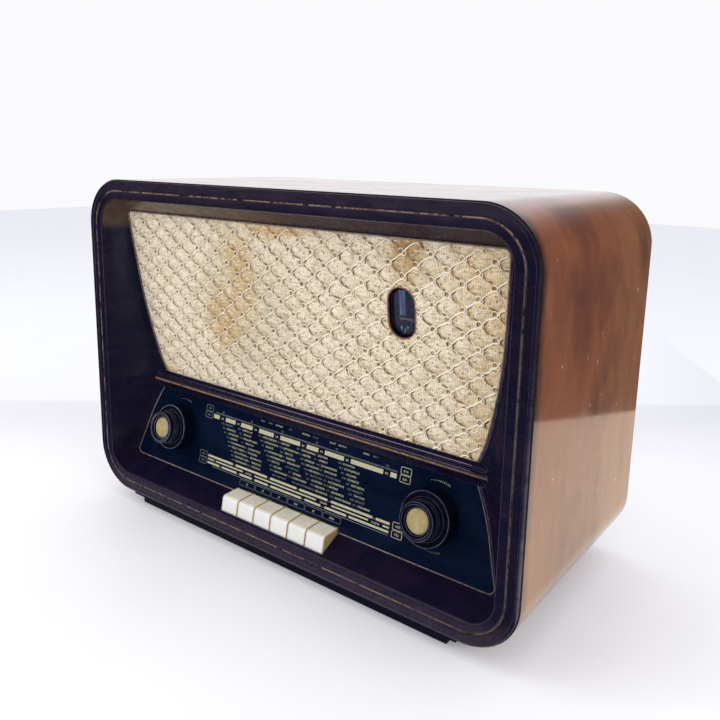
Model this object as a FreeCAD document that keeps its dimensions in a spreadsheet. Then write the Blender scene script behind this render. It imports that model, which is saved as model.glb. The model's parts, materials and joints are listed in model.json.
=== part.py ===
import FreeCAD, Part
import math
import os
import re
import Sketcher

from FreeCAD import Placement, Rotation, Vector

# Table radio with a bent veneered cabinet, a moulded front surround with a waisted, splayed
# recess, a cloth grille over a leaning baffle, a leaning dial glass, two pairs of
# concentric knobs, six piano keys and an upright tuning-eye valve.
#
# Row frame: +X to the right, +Y to the back, +Z up, origin under the middle at floor level.
# Three working frames are used:
#   SET     y = 0 at the cabinet's front edge, z = 0 at the cabinet's underside
#   GRILLE  origin on the waist line, z up along the leaning baffle, y into the cabinet
#   DIAL    origin on the waist line, z up along the leaning dial, y into the cabinet

doc = FreeCAD.newDocument("table_radio")
sheet = doc.addObject("Spreadsheet::Sheet", "dims")

DIMS = [
    # cabinet
    ("cabinet_width", 560.0), ("cabinet_height", 370.0), ("cabinet_back", 260.0),
    ("cabinet_front", 0.8), ("cabinet_wall", 12.0), ("cabinet_radius", 52.0),
    ("middle_y", 129.0), ("foot_height", 15.0),
    # moulded surround
    ("rim_proud", 2.0), ("rim_gap", 1.2), ("rim_band", 21.6), ("rim_corner", 28.0),
    ("bead_width", 3.6), ("inlay_inset", 11.7), ("inlay_width", 1.6), ("opening_corner", 7.0),
    ("splay_curve", 1.75), ("plug_gap", 0.5), ("top_edge_y", 24.0), ("top_edge_z", 334.0),
    ("ledge_y", 26.7), ("ledge_z", 35.4),
    # waist line where the baffle and the dial planes meet
    ("waist_y", 48.85), ("waist_z", 134.15), ("grille_lean", 7.09), ("dial_lean", 12.64),
    ("half_waist", 207.5), ("half_grille_low", 211.9), ("half_grille_mid", 226.3),
    ("half_grille_high", 235.3), ("half_grille_upper", 240.2), ("half_grille_top", 243.6),
    ("half_dial_top", 215.4), ("half_dial_mid", 231.2), ("half_dial_low", 238.9),
    ("half_dial_foot", 246.8),
    # waist rail
    ("rail_top", 141.4), ("rail_bottom", 121.6), ("rail_face", 40.9), ("rail_reach", 236.0),
    # grille
    ("board_half", 256.0), ("board_thick", 8.0), ("board_top", 210.0), ("board_foot", 3.0),
    ("cloth_thick", 0.8), ("trim_width", 1.3), ("trim_proud", 0.9), ("trim_gap", 0.25),
    ("speaker_x", -60.0), ("speaker_z", 105.0), ("speaker_hole", 78.0),
    ("eye_x", 136.7), ("eye_z", 132.4), ("eye_width", 28.5), ("eye_height", 46.5),
    ("eye_sleeve", 1.0), ("eye_radius", 11.0), ("eye_set_back", 21.0), ("eye_length", 62.0),
    # dial
    ("glass_half", 250.0), ("glass_thick", 3.0), ("glass_top", 3.0), ("glass_foot", 103.5),
    ("notch_top", 95.3), ("plate_y", 15.0), ("plate_thick", 1.0), ("plate_half", 236.0),
    ("plate_top", 8.0), ("plate_foot", 95.0), ("rail_radius", 1.5), ("rail_y", 10.0),
    ("upper_rail_z", 12.5), ("lower_rail_z", 91.5), ("pointer_start", 146.0),
    # knobs
    ("knob_x", 175.3), ("knob_z", 52.5), ("ring_radius", 25.8), ("ring_front", 17.4),
    ("ring_back", 2.6), ("knob_radius", 18.2), ("knob_front", 31.6), ("cap_radius", 11.4),
    ("cap_front", 28.9), ("shaft_radius", 3.0), ("sleeve_radius", 5.0), ("fit_gap", 0.05),
    # piano keys
    ("key_pitch", 23.9), ("key_gap", 0.7), ("bank_x", 1.5), ("key_front", 3.2),
    ("key_foot", 22.5), ("key_top", 39.8), ("pivot_y", 80.0), ("pivot_z", 30.0),
    ("pivot_radius", 2.0), ("pocket_side", 0.6), ("pocket_floor", 14.0),
    # chassis and what stands on it
    ("chassis_half", 226.0), ("chassis_front", 104.0), ("chassis_rear", 251.0),
    ("chassis_top", 60.0), ("sheet_thick", 1.5), ("valve_radius", 11.0),
    ("gang_x", 85.0), ("gang_z", 88.0), ("drum_radius", 34.0), ("rotor_radius", 20.0),
    # back and plinth
    ("panel_thick", 3.0), ("panel_inset", 1.5), ("plinth_half", 211.0),
    ("plinth_front", 7.0), ("lip_half", 222.5), ("lip_front", 2.7), ("lip_drop", 4.5),
    ("plinth_drop", 13.5),
]
for row, (alias, value) in enumerate(DIMS, start=1):
    sheet.set(f"A{row}", alias.replace("_", " "))
    sheet.set(f"B{row}", str(value))
    sheet.setAlias(f"B{row}", alias)
doc.recompute()
NAMES = {alias for alias, _ in DIMS}
d = {alias: float(getattr(sheet, alias)) for alias in NAMES}

FRAMES = {"SET": ("0", "0", "0"),
          "GRILLE": ("waist_y", "waist_z", "grille_lean"),
          "DIAL": ("waist_y", "waist_z", "-dial_lean")}
nodes = []


# ---------------------------------------------------------------- binding and placing
def ex(text):
    """An expression on the sheet's cells, from plain names of cells."""
    return re.sub(r"[a-z_]+", lambda m: "dims." + m.group(0) if m.group(0) in NAMES else m.group(0),
                  str(text))


def bind(obj, **sizes):
    for prop, text in sizes.items():
        obj.setExpression(prop, ex(text))
    return obj


def move(obj, at, turn=None):
    """Places a helper solid inside its sub-part; turn is an axis letter and degrees."""
    if turn:
        axis = {"X": Vector(1, 0, 0), "Y": Vector(0, 1, 0), "Z": Vector(0, 0, 1)}[turn[0]]
        obj.Placement = Placement(Vector(), Rotation(axis, turn[1]))
    for letter, text in zip("xyz", at):
        obj.setExpression("Placement.Base." + letter, ex(text))
    return obj


def node(label, obj, frame="SET", at=("0", "0", "0")):
    """Names a finished sub-part and puts its working frame into the row frame."""
    if isinstance(obj, (list, tuple)) or obj.TypeId in ("Part::Box", "Part::Cylinder"):
        obj = obj if isinstance(obj, (list, tuple)) else [obj]
        group = doc.addObject("Part::Compound", label + "_set")
        group.Links = list(obj)
        obj = group
    obj.Label = label
    base_y, base_z, lean = FRAMES[frame]
    x, y, z = at
    if frame != "SET":
        obj.Placement = Placement(Vector(), Rotation(Vector(1, 0, 0), 5))
        obj.setExpression("Placement.Rotation.Angle", ex(lean))
    obj.setExpression("Placement.Base.x", ex(x))
    obj.setExpression("Placement.Base.y", ex(
        f"{base_y} + ({y}) * cos({lean}) - ({z}) * sin({lean}) - middle_y"))
    obj.setExpression("Placement.Base.z", ex(
        f"{base_z} + ({y}) * sin({lean}) + ({z}) * cos({lean}) + foot_height"))
    nodes.append(obj)
    return obj


# ---------------------------------------------------------------- solids
def box(name, low, size):
    obj = doc.addObject("Part::Box", name)
    bind(obj, Length=size[0], Width=size[1], Height=size[2])
    return move(obj, low)


def cylinder(name, radius, length, at, along="Z"):
    obj = doc.addObject("Part::Cylinder", name)
    bind(obj, Radius=radius, Height=length)
    turn = {"Z": None, "Y": ("X", -90), "X": ("Y", 90)}[along]
    return move(obj, at, turn)


def fuse(name, *solids):
    obj = doc.addObject("Part::MultiFuse", name)
    obj.Shapes = list(solids)
    return obj


def cut(name, base, *tools):
    tool = tools[0] if len(tools) == 1 else fuse(name + "_tools", *tools)
    obj = doc.addObject("Part::Cut", name)
    obj.Base = base
    obj.Tool = tool
    return obj


def feature(name, shape):
    obj = doc.addObject("Part::Feature", name)
    obj.Shape = shape
    return obj


# ---------------------------------------------------------------- PartDesign
def new_body(name):
    return doc.addObject("PartDesign::Body", name)


def sketch_on(body, plane, name, offset="0"):
    sketch = body.newObject("Sketcher::SketchObject", name)
    origin = [f for f in body.Origin.OriginFeatures if f.Role == plane][0]
    sketch.AttachmentSupport = [(origin, "")]
    sketch.MapMode = "FlatFace"
    if offset != "0":
        sketch.setExpression("AttachmentOffset.Base.z", ex(offset))
    return sketch


def outline(sketch, points):
    """A closed outline; each corner's two coordinates are bound to the sheet."""
    rough = [(n % 7 + 1.0 + n, n * 3 % 5 + 2.0 * n) for n in range(len(points))]
    first = sketch.GeometryCount
    count = len(points)
    for n in range(count):
        a, b = rough[n], rough[(n + 1) % count]
        sketch.addGeometry(Part.LineSegment(Vector(a[0], a[1], 0), Vector(b[0], b[1], 0)))
    for n in range(count):
        sketch.addConstraint(Sketcher.Constraint(
            "Coincident", first + n, 2, first + (n + 1) % count, 1))
    for n, (x, y) in enumerate(points):
        for kind, text in (("DistanceX", x), ("DistanceY", y)):
            index = sketch.addConstraint(Sketcher.Constraint(kind, first + n, 1, 1.0))
            sketch.setExpression(f"Constraints[{index}]", ex(text))


def circle(sketch, radius, x, y):
    geo = sketch.addGeometry(Part.Circle(Vector(1, 1, 0), Vector(0, 0, 1), 1))
    for kind, args, text in (("Radius", (geo,), radius), ("DistanceX", (geo, 3), x),
                             ("DistanceY", (geo, 3), y)):
        index = sketch.addConstraint(Sketcher.Constraint(kind, *args, 1.0))
        sketch.setExpression(f"Constraints[{index}]", ex(text))


def pad(body, sketch, length, reverse=False, middle=False):
    obj = body.newObject("PartDesign::Pad", sketch.Name + "_pad")
    obj.Profile = sketch
    obj.setExpression("Length", ex(length))
    obj.Reversed = reverse
    obj.Midplane = middle
    return obj


def pocket(body, sketch, length=None, reverse=False):
    obj = body.newObject("PartDesign::Pocket", sketch.Name + "_pocket")
    obj.Profile = sketch
    if length is None:
        obj.Type = "ThroughAll"
        obj.Midplane = True
    else:
        obj.setExpression("Length", ex(length))
        obj.Reversed = reverse
    return obj


def fillet(body, base, radius, chosen):
    """Rounds the edges of the latest feature for which chosen(edge) holds."""
    doc.recompute()
    edges = [f"Edge{n}" for n, edge in enumerate(base.Shape.Edges, start=1) if chosen(edge)]
    obj = body.newObject("PartDesign::Fillet", base.Name + "_fillet")
    obj.Base = (base, edges)
    obj.setExpression("Radius", ex(radius))
    doc.recompute()
    return obj


def turned(name, points):
    """A body turned about the Y axis; points are (y, radius) pairs."""
    body = new_body(name)
    sketch = sketch_on(body, "YZ_Plane", name + "_profile")
    outline(sketch, points)
    obj = body.newObject("PartDesign::Revolution", name + "_turn")
    obj.Profile = sketch
    obj.ReferenceAxis = (sketch, ["H_Axis"])
    obj.Angle = 360
    return body


def along_y(edge):
    ends = [v.Point for v in edge.Vertexes]
    return len(ends) == 2 and abs(ends[0].y - ends[1].y) > 1 and \
        (ends[0] - ends[1]).cross(Vector(0, 1, 0)).Length < 0.01



# ---------------------------------------------------------------- cabinet
def rounded_body(name, inset, front, back):
    """A rounded block that follows the cabinet's outline, inset all round."""
    body = new_body(name)
    sketch = sketch_on(body, "XZ_Plane", name + "_outline", f"-({front})")
    half, high = f"cabinet_width / 2 - ({inset})", f"cabinet_height - ({inset})"
    outline(sketch, [(f"-({half})", inset), (half, inset), (half, high), (f"-({half})", high)])
    block = pad(body, sketch, f"({back}) - ({front})", reverse=True)
    fillet(body, block, f"cabinet_radius - ({inset})", along_y)
    return body


def make_cabinet():
    """Bent, veneered plywood wrap: a rounded tube open at the front and the back."""
    outer = rounded_body("wrap_outer", "0", "cabinet_front", "cabinet_back")
    inner = rounded_body("wrap_inner", "cabinet_wall", "cabinet_front - 2", "cabinet_back + 2")
    node("cabinet_wrap", cut("wrap", outer, inner))


def rounded(half, low, high, radius, y0, y1):
    """A solid rounded rectangle from y0 to y1, standing on z = low."""
    r = radius
    corners = [(half - r, low + r, 270), (half - r, high - r, 0),
               (r - half, high - r, 90), (r - half, low + r, 180)]
    edges, points = [], []
    for x, z, start in corners:
        turn = [math.radians(start + step) for step in (0, 45, 90)]
        points.append([Vector(x + r * math.cos(a), y0, z + r * math.sin(a)) for a in turn])
    for n in range(4):
        edges.append(Part.Arc(*points[n]).toShape())
        edges.append(Part.LineSegment(points[n][2], points[(n + 1) % 4][0]).toShape())
    return Part.Face(Part.Wire(edges)).extrude(Vector(0, y1 - y0, 0))


def inset_block(inset, y0, y1):
    """A block that follows the cabinet's outline, inset all round."""
    return rounded(d["cabinet_width"] / 2 - inset, inset, d["cabinet_height"] - inset,
                   d["cabinet_radius"] - inset, y0, y1)


def baffle_y(z):
    return d["waist_y"] - (z - d["waist_z"]) * math.tan(math.radians(d["grille_lean"]))


def dial_y(z):
    return d["waist_y"] + (z - d["waist_z"]) * math.tan(math.radians(d["dial_lean"]))


def plane_y(z):
    return baffle_y(z) if z > d["waist_z"] else dial_y(z)


GRILLE_SIDE = [(d["waist_z"], d["half_waist"]), (142.0, d["half_grille_low"]),
               (185.0, d["half_grille_mid"]), (230.0, d["half_grille_high"]),
               (280.0, d["half_grille_upper"]), (d["top_edge_z"], d["half_grille_top"]),
               (356.0, d["half_grille_top"] + 0.9)]
DIAL_SIDE = [(14.0, d["half_dial_foot"] + 5.0), (d["ledge_z"], d["half_dial_foot"]),
             (60.0, d["half_dial_low"]), (85.0, d["half_dial_mid"]),
             (120.0, d["half_dial_top"]), (d["waist_z"], d["half_waist"])]


def half_section(z, half):
    """A level slice through the recess: cove, straight mouth wall, and a far back line."""
    rim_x, rim_y = d["cabinet_width"] / 2 - d["rim_band"], -d["rim_proud"]
    depth = plane_y(z)
    cove = []
    for step in range(9):
        u = step / 8.0
        cove.append(Vector(half + (rim_x - half) * u,
                           depth - (depth - rim_y) * u ** d["splay_curve"], z))
    slope = d["splay_curve"] * (depth - rim_y) / (rim_x - half)
    front = Vector(rim_x + 8.0 / slope, rim_y - 8.0, z)
    back = Vector(half, 75.0, z)
    curve = Part.BSplineCurve()
    curve.interpolate(cove)
    right = [Part.LineSegment(back, cove[0]).toShape(), curve.toShape(),
             Part.LineSegment(cove[-1], front).toShape()]
    mirror = FreeCAD.Matrix()
    mirror.scale(-1, 1, 1)
    left = [edge.transformGeometry(mirror) for edge in right]
    ends = [Part.LineSegment(front, Vector(-front.x, front.y, z)).toShape(),
            Part.LineSegment(Vector(-half, 75.0, z), back).toShape()]
    return Part.Wire(Part.__sortEdges__(right + left + ends))


def recess_solid():
    """The splayed recess with its two openings, as the solid that is cut away."""
    lofts = [Part.makeLoft([half_section(z, half) for z, half in side], True, False)
             for side in (GRILLE_SIDE, DIAL_SIDE)]
    sides = lofts[0].fuse(lofts[1])
    rim_y, rim_low = -d["rim_proud"], d["rim_band"]
    rim_high = d["cabinet_height"] - d["rim_band"]

    def run_on(y, z, edge_y, edge_z):
        return z + (y - rim_y) * (edge_z - z) / (edge_y - rim_y)
    far = 75.0
    near = rim_y - 8.0
    corners = [(near, run_on(near, rim_low, d["ledge_y"], d["ledge_z"])),
               (d["ledge_y"], d["ledge_z"]), (far, d["ledge_z"]), (far, d["top_edge_z"]),
               (d["top_edge_y"], d["top_edge_z"]),
               (near, run_on(near, rim_high, d["top_edge_y"], d["top_edge_z"]))]
    wire = Part.makePolygon([Vector(-300, y, z) for y, z in corners + corners[:1]])
    return sides.common(Part.Face(wire).extrude(Vector(600, 0, 0)))


def corner_fillers():
    """Solids that round the recess's four mitred corners, widely at the rim, tightly at the mouth."""
    rim_x, rim_y = d["cabinet_width"] / 2 - d["rim_band"], -d["rim_proud"]
    jobs = [(d["half_grille_top"], d["top_edge_y"], d["top_edge_z"],
             d["cabinet_height"] - d["rim_band"], 1),
            (d["half_dial_foot"], d["ledge_y"], d["ledge_z"], d["rim_band"], -1)]
    fillers = []
    for half, mouth_y, mouth_z, rim_z, up in jobs:
        sections = []
        for share in (0.0, 0.25, 0.5, 0.75, 1.0, 1.9):
            inner = min(share, 1.0)
            y = rim_y + (mouth_y - rim_y) * share
            u = (1 - inner) ** (1 / d["splay_curve"])
            x = half + (rim_x - half) * u
            z = rim_z + (mouth_z - rim_z) * inner
            r = d["rim_corner"] + (d["opening_corner"] - d["rim_corner"]) * inner
            turn = r * math.sqrt(0.5)
            a = Vector(x - r, y, z)
            b = Vector(x, y, z - up * r)
            middle = Vector(x - r + turn, y, z - up * (r - turn))
            outer = [b, Vector(x + 4, y, b.z), Vector(x + 4, y, z + up * 4),
                     Vector(a.x, y, z + up * 4), a]
            edges = [Part.Arc(a, middle, b).toShape()]
            edges += [Part.LineSegment(p, q).toShape() for p, q in zip(outer, outer[1:])]
            sections.append(Part.Wire(edges))
        right = Part.makeLoft(sections, True, True)
        fillers += [right, right.mirror(Vector(), Vector(1, 0, 0))]
    return fillers


def in_front_of_planes(back=0.0):
    """Everything forward of the baffle plane and of the dial plane."""
    corners = [(-60.0, -20.0), (dial_y(-20.0) + back, -20.0),
               (d["waist_y"] + back, d["waist_z"]), (baffle_y(390.0) + back, 390.0),
               (-60.0, 390.0)]
    wire = Part.makePolygon([Vector(-300, y, z) for y, z in corners + corners[:1]])
    return Part.Face(wire).extrude(Vector(600, 0, 0))


def ring(inset, width, y0, y1):
    return inset_block(inset, y0, y1).cut(inset_block(inset + width, y0 - 1, y1 + 1))


def make_surround():
    recess = recess_solid().cut(corner_fillers())
    plug_inset = d["cabinet_wall"] + d["plug_gap"]
    base = inset_block(d["rim_gap"], -d["rim_proud"] / 2, d["cabinet_front"])
    plug = inset_block(plug_inset, 0.0, 60.0)
    bead = ring(d["rim_gap"], d["bead_width"], -d["rim_proud"], 0.0)
    bead = bead.makeFillet(0.95, [e for e in bead.Edges if e.BoundBox.YMax < -d["rim_proud"] + 0.01])
    band_inset = d["inlay_inset"] + d["inlay_width"]
    band = inset_block(band_inset, -d["rim_proud"], 0.0)
    solid = base.fuse([plug, bead, band]).common(in_front_of_planes()).cut(recess)
    groove = ring(d["inlay_inset"], d["inlay_width"], -5.0, -0.4)
    width = 6 * d["key_pitch"] + 2 * d["pocket_side"]
    keys = Part.makeBox(width, 70.0, 30.0,
                        Vector(d["bank_x"] - width / 2, d["key_front"] - 1.6, d["pocket_floor"]))
    solid = solid.cut(groove).cut(keys).removeSplitter()
    node("front_surround", feature("surround_shape", solid))
    inlay = ring(d["inlay_inset"], d["inlay_width"], -d["rim_proud"] + 0.1, -0.4)
    node("gold_inlay", feature("inlay_shape", inlay))
    make_waist_rail(recess.common(in_front_of_planes()))


def make_waist_rail(space):
    """Moulded rail across the waist; its ends die into the splayed sides."""
    face, top, bottom = d["rail_face"], d["rail_top"], d["rail_bottom"]
    section = [(60.0, bottom), (dial_y(bottom) - 1.2, bottom), (face + 2.6, bottom + 4.6),
               (face, bottom + 8.2), (face, bottom + 12.4), (face + 3.0, bottom + 13.4),
               (face + 3.0, bottom + 15.4), (face + 1.6, bottom + 16.2),
               (face + 1.6, bottom + 17.8), (baffle_y(top) - 1.6, top), (60.0, top)]
    reach = d["rail_reach"]
    wire = Part.makePolygon([Vector(-reach, y, z) for y, z in section + section[:1]])
    rail = Part.Face(wire).extrude(Vector(2 * reach, 0, 0)).common(space)
    strip = Part.makeBox(2 * reach, 1.4, 2.6, Vector(-reach, face - 0.6, bottom + 9.0)).common(space)
    node("waist_rail", feature("rail_shape", rail.cut(strip)))
    node("waist_inlay", feature("waist_inlay_shape", strip))


def mouth_wire(side, low, high, inset, corner, closed):
    """The mouth's outline in a leaning plane; side pairs are (height on the plane, half width)."""
    curve = Part.BSplineCurve()
    curve.interpolate([Vector(half, 0, z) for z, half in side])
    first, last = low, high
    if closed == "top":
        last = high - corner
    else:
        first = low + corner
    right = []
    for n in range(25):
        z = first + (last - first) * n / 24
        right.append(Vector(half_at(curve, z) - inset, 0, z))
    arc = []
    end = right[-1] if closed == "top" else right[0]
    up = 1 if closed == "top" else -1
    for n in range(1, 7):
        a = math.radians(15 * n)
        arc.append(Vector(end.x - corner * (1 - math.cos(a)), 0, end.z + up * corner * math.sin(a)))
    right = right + arc if closed == "top" else arc[::-1] + right
    loop = right + [Vector(-p.x, 0, p.z) for p in reversed(right)]
    return Part.makePolygon(loop + loop[:1])


def half_at(curve, z):
    low, high = curve.FirstParameter, curve.LastParameter
    for _ in range(40):
        mid = (low + high) / 2
        low, high = (mid, high) if curve.value(mid).z < z else (low, mid)
    return curve.value(low).x


def make_trims():
    """Thin metal lines round the grille's mouth and the dial's mouth."""
    grille_up = 1 / math.cos(math.radians(d["grille_lean"]))
    dial_up = 1 / math.cos(math.radians(d["dial_lean"]))
    upper = [((z - d["waist_z"]) * grille_up, half) for z, half in GRILLE_SIDE]
    lower = [((z - d["waist_z"]) * dial_up, half) for z, half in DIAL_SIDE]
    jobs = [("grille_trim", "GRILLE", upper, (d["rail_top"] - d["waist_z"]) * grille_up + 0.4,
             (d["top_edge_z"] - d["waist_z"]) * grille_up - 0.1, "top"),
            ("dial_trim", "DIAL", lower, (d["ledge_z"] - d["waist_z"]) * dial_up + 0.1,
             (d["rail_bottom"] - d["waist_z"]) * dial_up - 0.4, "foot")]
    for label, frame, side, low, high, closed in jobs:
        width = d["trim_width"]
        corner, gap = d["opening_corner"], d["trim_gap"]
        outer = Part.Face(mouth_wire(side, low, high, gap, corner, closed))
        inner_low = low + width if closed == "foot" else low - 2
        inner_high = high - width if closed == "top" else high + 2
        inner = Part.Face(mouth_wire(side, inner_low, inner_high, gap + width, corner - width,
                                     closed))
        line = outer.cut(inner).extrude(Vector(0, -d["trim_proud"], 0))
        if closed == "foot":
            notch = 6 * d["key_pitch"] + 2 * d["pocket_side"]
            line = line.cut(Part.makeBox(notch, 10, 12, Vector(d["bank_x"] - notch / 2, -5, low - 6)))
        node(label, feature(label + "_shape", line), frame)


# ---------------------------------------------------------------- grille
def oval(name, width, height, y0, y1):
    """An upright oval plug centred on the tuning eye."""
    rise = f"({height} - ({width})) / 2"
    lower = cylinder(name + "_low", f"({width}) / 2", f"{y1} - ({y0})",
                     ("eye_x", y0, f"eye_z - {rise}"), "Y")
    upper = cylinder(name + "_up", f"({width}) / 2", f"{y1} - ({y0})",
                     ("eye_x", y0, f"eye_z + {rise}"), "Y")
    middle = box(name + "_mid", (f"eye_x - ({width}) / 2", y0, f"eye_z - {rise}"),
                 (width, f"{y1} - ({y0})", f"2 * {rise}"))
    return fuse(name, lower, upper, middle)


def make_grille():
    back = "cloth_thick + board_thick"
    board = box("board", ("-board_half", "cloth_thick", "board_foot"),
                ("2 * board_half", "board_thick", "board_top - board_foot"))
    hole = cylinder("speaker_hole_tool", "speaker_hole", "board_thick + 4",
                    ("speaker_x", "-1", "speaker_z"), "Y")
    eye = oval("board_eye", "eye_width + 2 * eye_sleeve", "eye_height + 2 * eye_sleeve", "-3",
               f"{back} + 3")
    node("baffle_board", cut("board_cut", board, hole, eye), "GRILLE")
    cloth = box("cloth", ("-board_half", "0", "board_foot + 3"),
                ("2 * board_half", "cloth_thick", "board_top - board_foot - 5"))
    eye = oval("cloth_eye", "eye_width + 2 * eye_sleeve", "eye_height + 2 * eye_sleeve", "-3", "3")
    node("grille_cloth", cut("cloth_cut", cloth, eye), "GRILLE")
    outer = oval("sleeve_out", "eye_width + 2 * eye_sleeve", "eye_height + 2 * eye_sleeve", "0",
                 back)
    inner = oval("sleeve_in", "eye_width", "eye_height", "-2", f"{back} + 2")
    node("eye_sleeve_trim", cut("sleeve_cut", outer, inner), "GRILLE")


def make_eye():
    """Upright tuning-indicator valve: domed glass, with its holder clipped to the board."""
    body = new_body("eye_body")
    sketch = sketch_on(body, "XZ_Plane", "eye_profile")
    half = "eye_length / 2"
    outline(sketch, [("0", f"-{half}"), ("eye_radius", f"-{half}"), ("eye_radius", f"{half} - 5"),
                     ("eye_radius * 0.72", f"{half} - 1.5"), ("eye_radius * 0.3", half),
                     ("0", half)])
    obj = body.newObject("PartDesign::Revolution", "eye_turn")
    obj.Profile = sketch
    obj.ReferenceAxis = (sketch, ["V_Axis"])
    obj.Angle = 360
    node("eye_valve", body, "GRILLE", ("eye_x", "eye_set_back", "eye_z"))
    foot = "eye_z - eye_length / 2"
    cup = cylinder("eye_cup", "eye_radius + 1.2", "14", ("eye_x", "eye_set_back", f"{foot} - 14"))
    arm = box("eye_arm", ("eye_x - 9", "cloth_thick + board_thick", f"{foot} - 14"),
              ("18", "eye_set_back - cloth_thick - board_thick", "10"))
    node("eye_holder", fuse("eye_holder_solid", cup, arm), "GRILLE")


def make_speaker():
    """Round loudspeaker: pressed basket, paper cone and magnet pot."""
    back = "cloth_thick + board_thick"
    place = ("speaker_x", back, "speaker_z")
    basket = turned("basket_body", [
        ("0", "speaker_hole + 2"), ("0", "speaker_hole + 11"), ("2", "speaker_hole + 11"),
        ("2", "speaker_hole + 4"), ("48", "38"), ("50", "36"), ("50", "14"), ("48.5", "14"),
        ("48.5", "35"), ("46", "36"), ("1.5", "speaker_hole + 2")])
    node("speaker_basket", basket, "GRILLE", place)
    cone = turned("cone_body", [
        ("0", "speaker_hole + 1.5"), ("1.2", "speaker_hole + 1.5"), ("3.5", "speaker_hole - 6"),
        ("40", "12.6"), ("47.5", "12.6"), ("47.5", "0"), ("32", "0"), ("34", "11.4"),
        ("1.5", "speaker_hole - 6.4")])
    node("speaker_cone", cone, "GRILLE", place)
    magnet = turned("magnet_body", [("50", "0"), ("50", "31"), ("78", "31"), ("80", "29"),
                                    ("80", "0")])
    node("speaker_magnet", magnet, "GRILLE", place)


# ---------------------------------------------------------------- dial
def make_dial():
    glass = box("glass", ("-glass_half", "0", "-glass_foot"),
                ("2 * glass_half", "glass_thick", "glass_foot - glass_top"))
    width = "6 * key_pitch + 2 * pocket_side"
    notch = box("glass_notch", (f"bank_x - ({width}) / 2", "-1", "-glass_foot - 1"),
                (width, "glass_thick + 2", "glass_foot + 1 - notch_top"))
    holes = [cylinder(f"glass_hole_{side}", "sleeve_radius + 1.5", "glass_thick + 2",
                      (f"{sign}knob_x", "-1", "-knob_z"), "Y")
             for side, sign in (("left", "-"), ("right", ""))]
    node("dial_glass", cut("glass_cut", glass, notch, *holes), "DIAL")

    tall = "plate_foot - plate_top"
    sheet_back = box("plate_back", ("-plate_half", "plate_y", "-plate_foot"),
                     ("2 * plate_half", "plate_thick", tall))
    sides = [box(f"plate_side_{n}", (x, "glass_thick", "-plate_foot"),
                 ("plate_thick", "plate_y + plate_thick - glass_thick", tall))
             for n, x in enumerate(("-plate_half", "plate_half - plate_thick"))]
    holes = [cylinder(f"plate_hole_{side}", "sleeve_radius + 1.5", "plate_thick + 2",
                      (f"{sign}knob_x", "plate_y - 1", "-knob_z"), "Y")
             for side, sign in (("left", "-"), ("right", ""))]
    node("dial_backplate", cut("plate_cut", fuse("plate", sheet_back, *sides), *holes), "DIAL")

    length = "2 * (plate_half - plate_thick)"
    rods = [cylinder(f"pointer_rod_{n}", "rail_radius", length,
                     ("-plate_half + plate_thick", "rail_y", f"-{z}"), "X")
            for n, z in enumerate(("upper_rail_z", "lower_rail_z"))]
    node("pointer_rods", rods, "DIAL")

    for name, rod, low, high in (("fm_pointer", "upper_rail_z", "-upper_rail_z - 34", "-upper_rail_z"),
                                 ("am_pointer", "lower_rail_z", "-lower_rail_z",
                                  "-lower_rail_z + 40")):
        block = box(name + "_block", ("-pointer_start - 6", "rail_y - 3", f"-{rod} - 3"),
                    ("12", "6", "6"))
        needle = box(name + "_needle", ("-pointer_start - 0.6", "rail_y - 3", low),
                     ("1.2", "1", f"({high}) - ({low})"))
        bore = cylinder(name + "_bore", "rail_radius + fit_gap", "20",
                        ("-pointer_start - 10", "rail_y", f"-{rod}"), "X")
        node(name, cut(name + "_cut", fuse(name + "_solid", block, needle), bore), "DIAL")

    lamps = []
    for n, x in enumerate(("-plate_half + 22", "plate_half - 22")):
        lamps.append(fuse(f"lamp_{n}",
                          cylinder(f"lamp_cap_{n}", "4.5", "6", (x, "plate_y - 6", "-24"), "Y"),
                          cylinder(f"lamp_bulb_{n}", "3.6", "5", (x, "plate_y - 10.5", "-24"), "Y")))
    node("dial_lamps", lamps, "DIAL")


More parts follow.
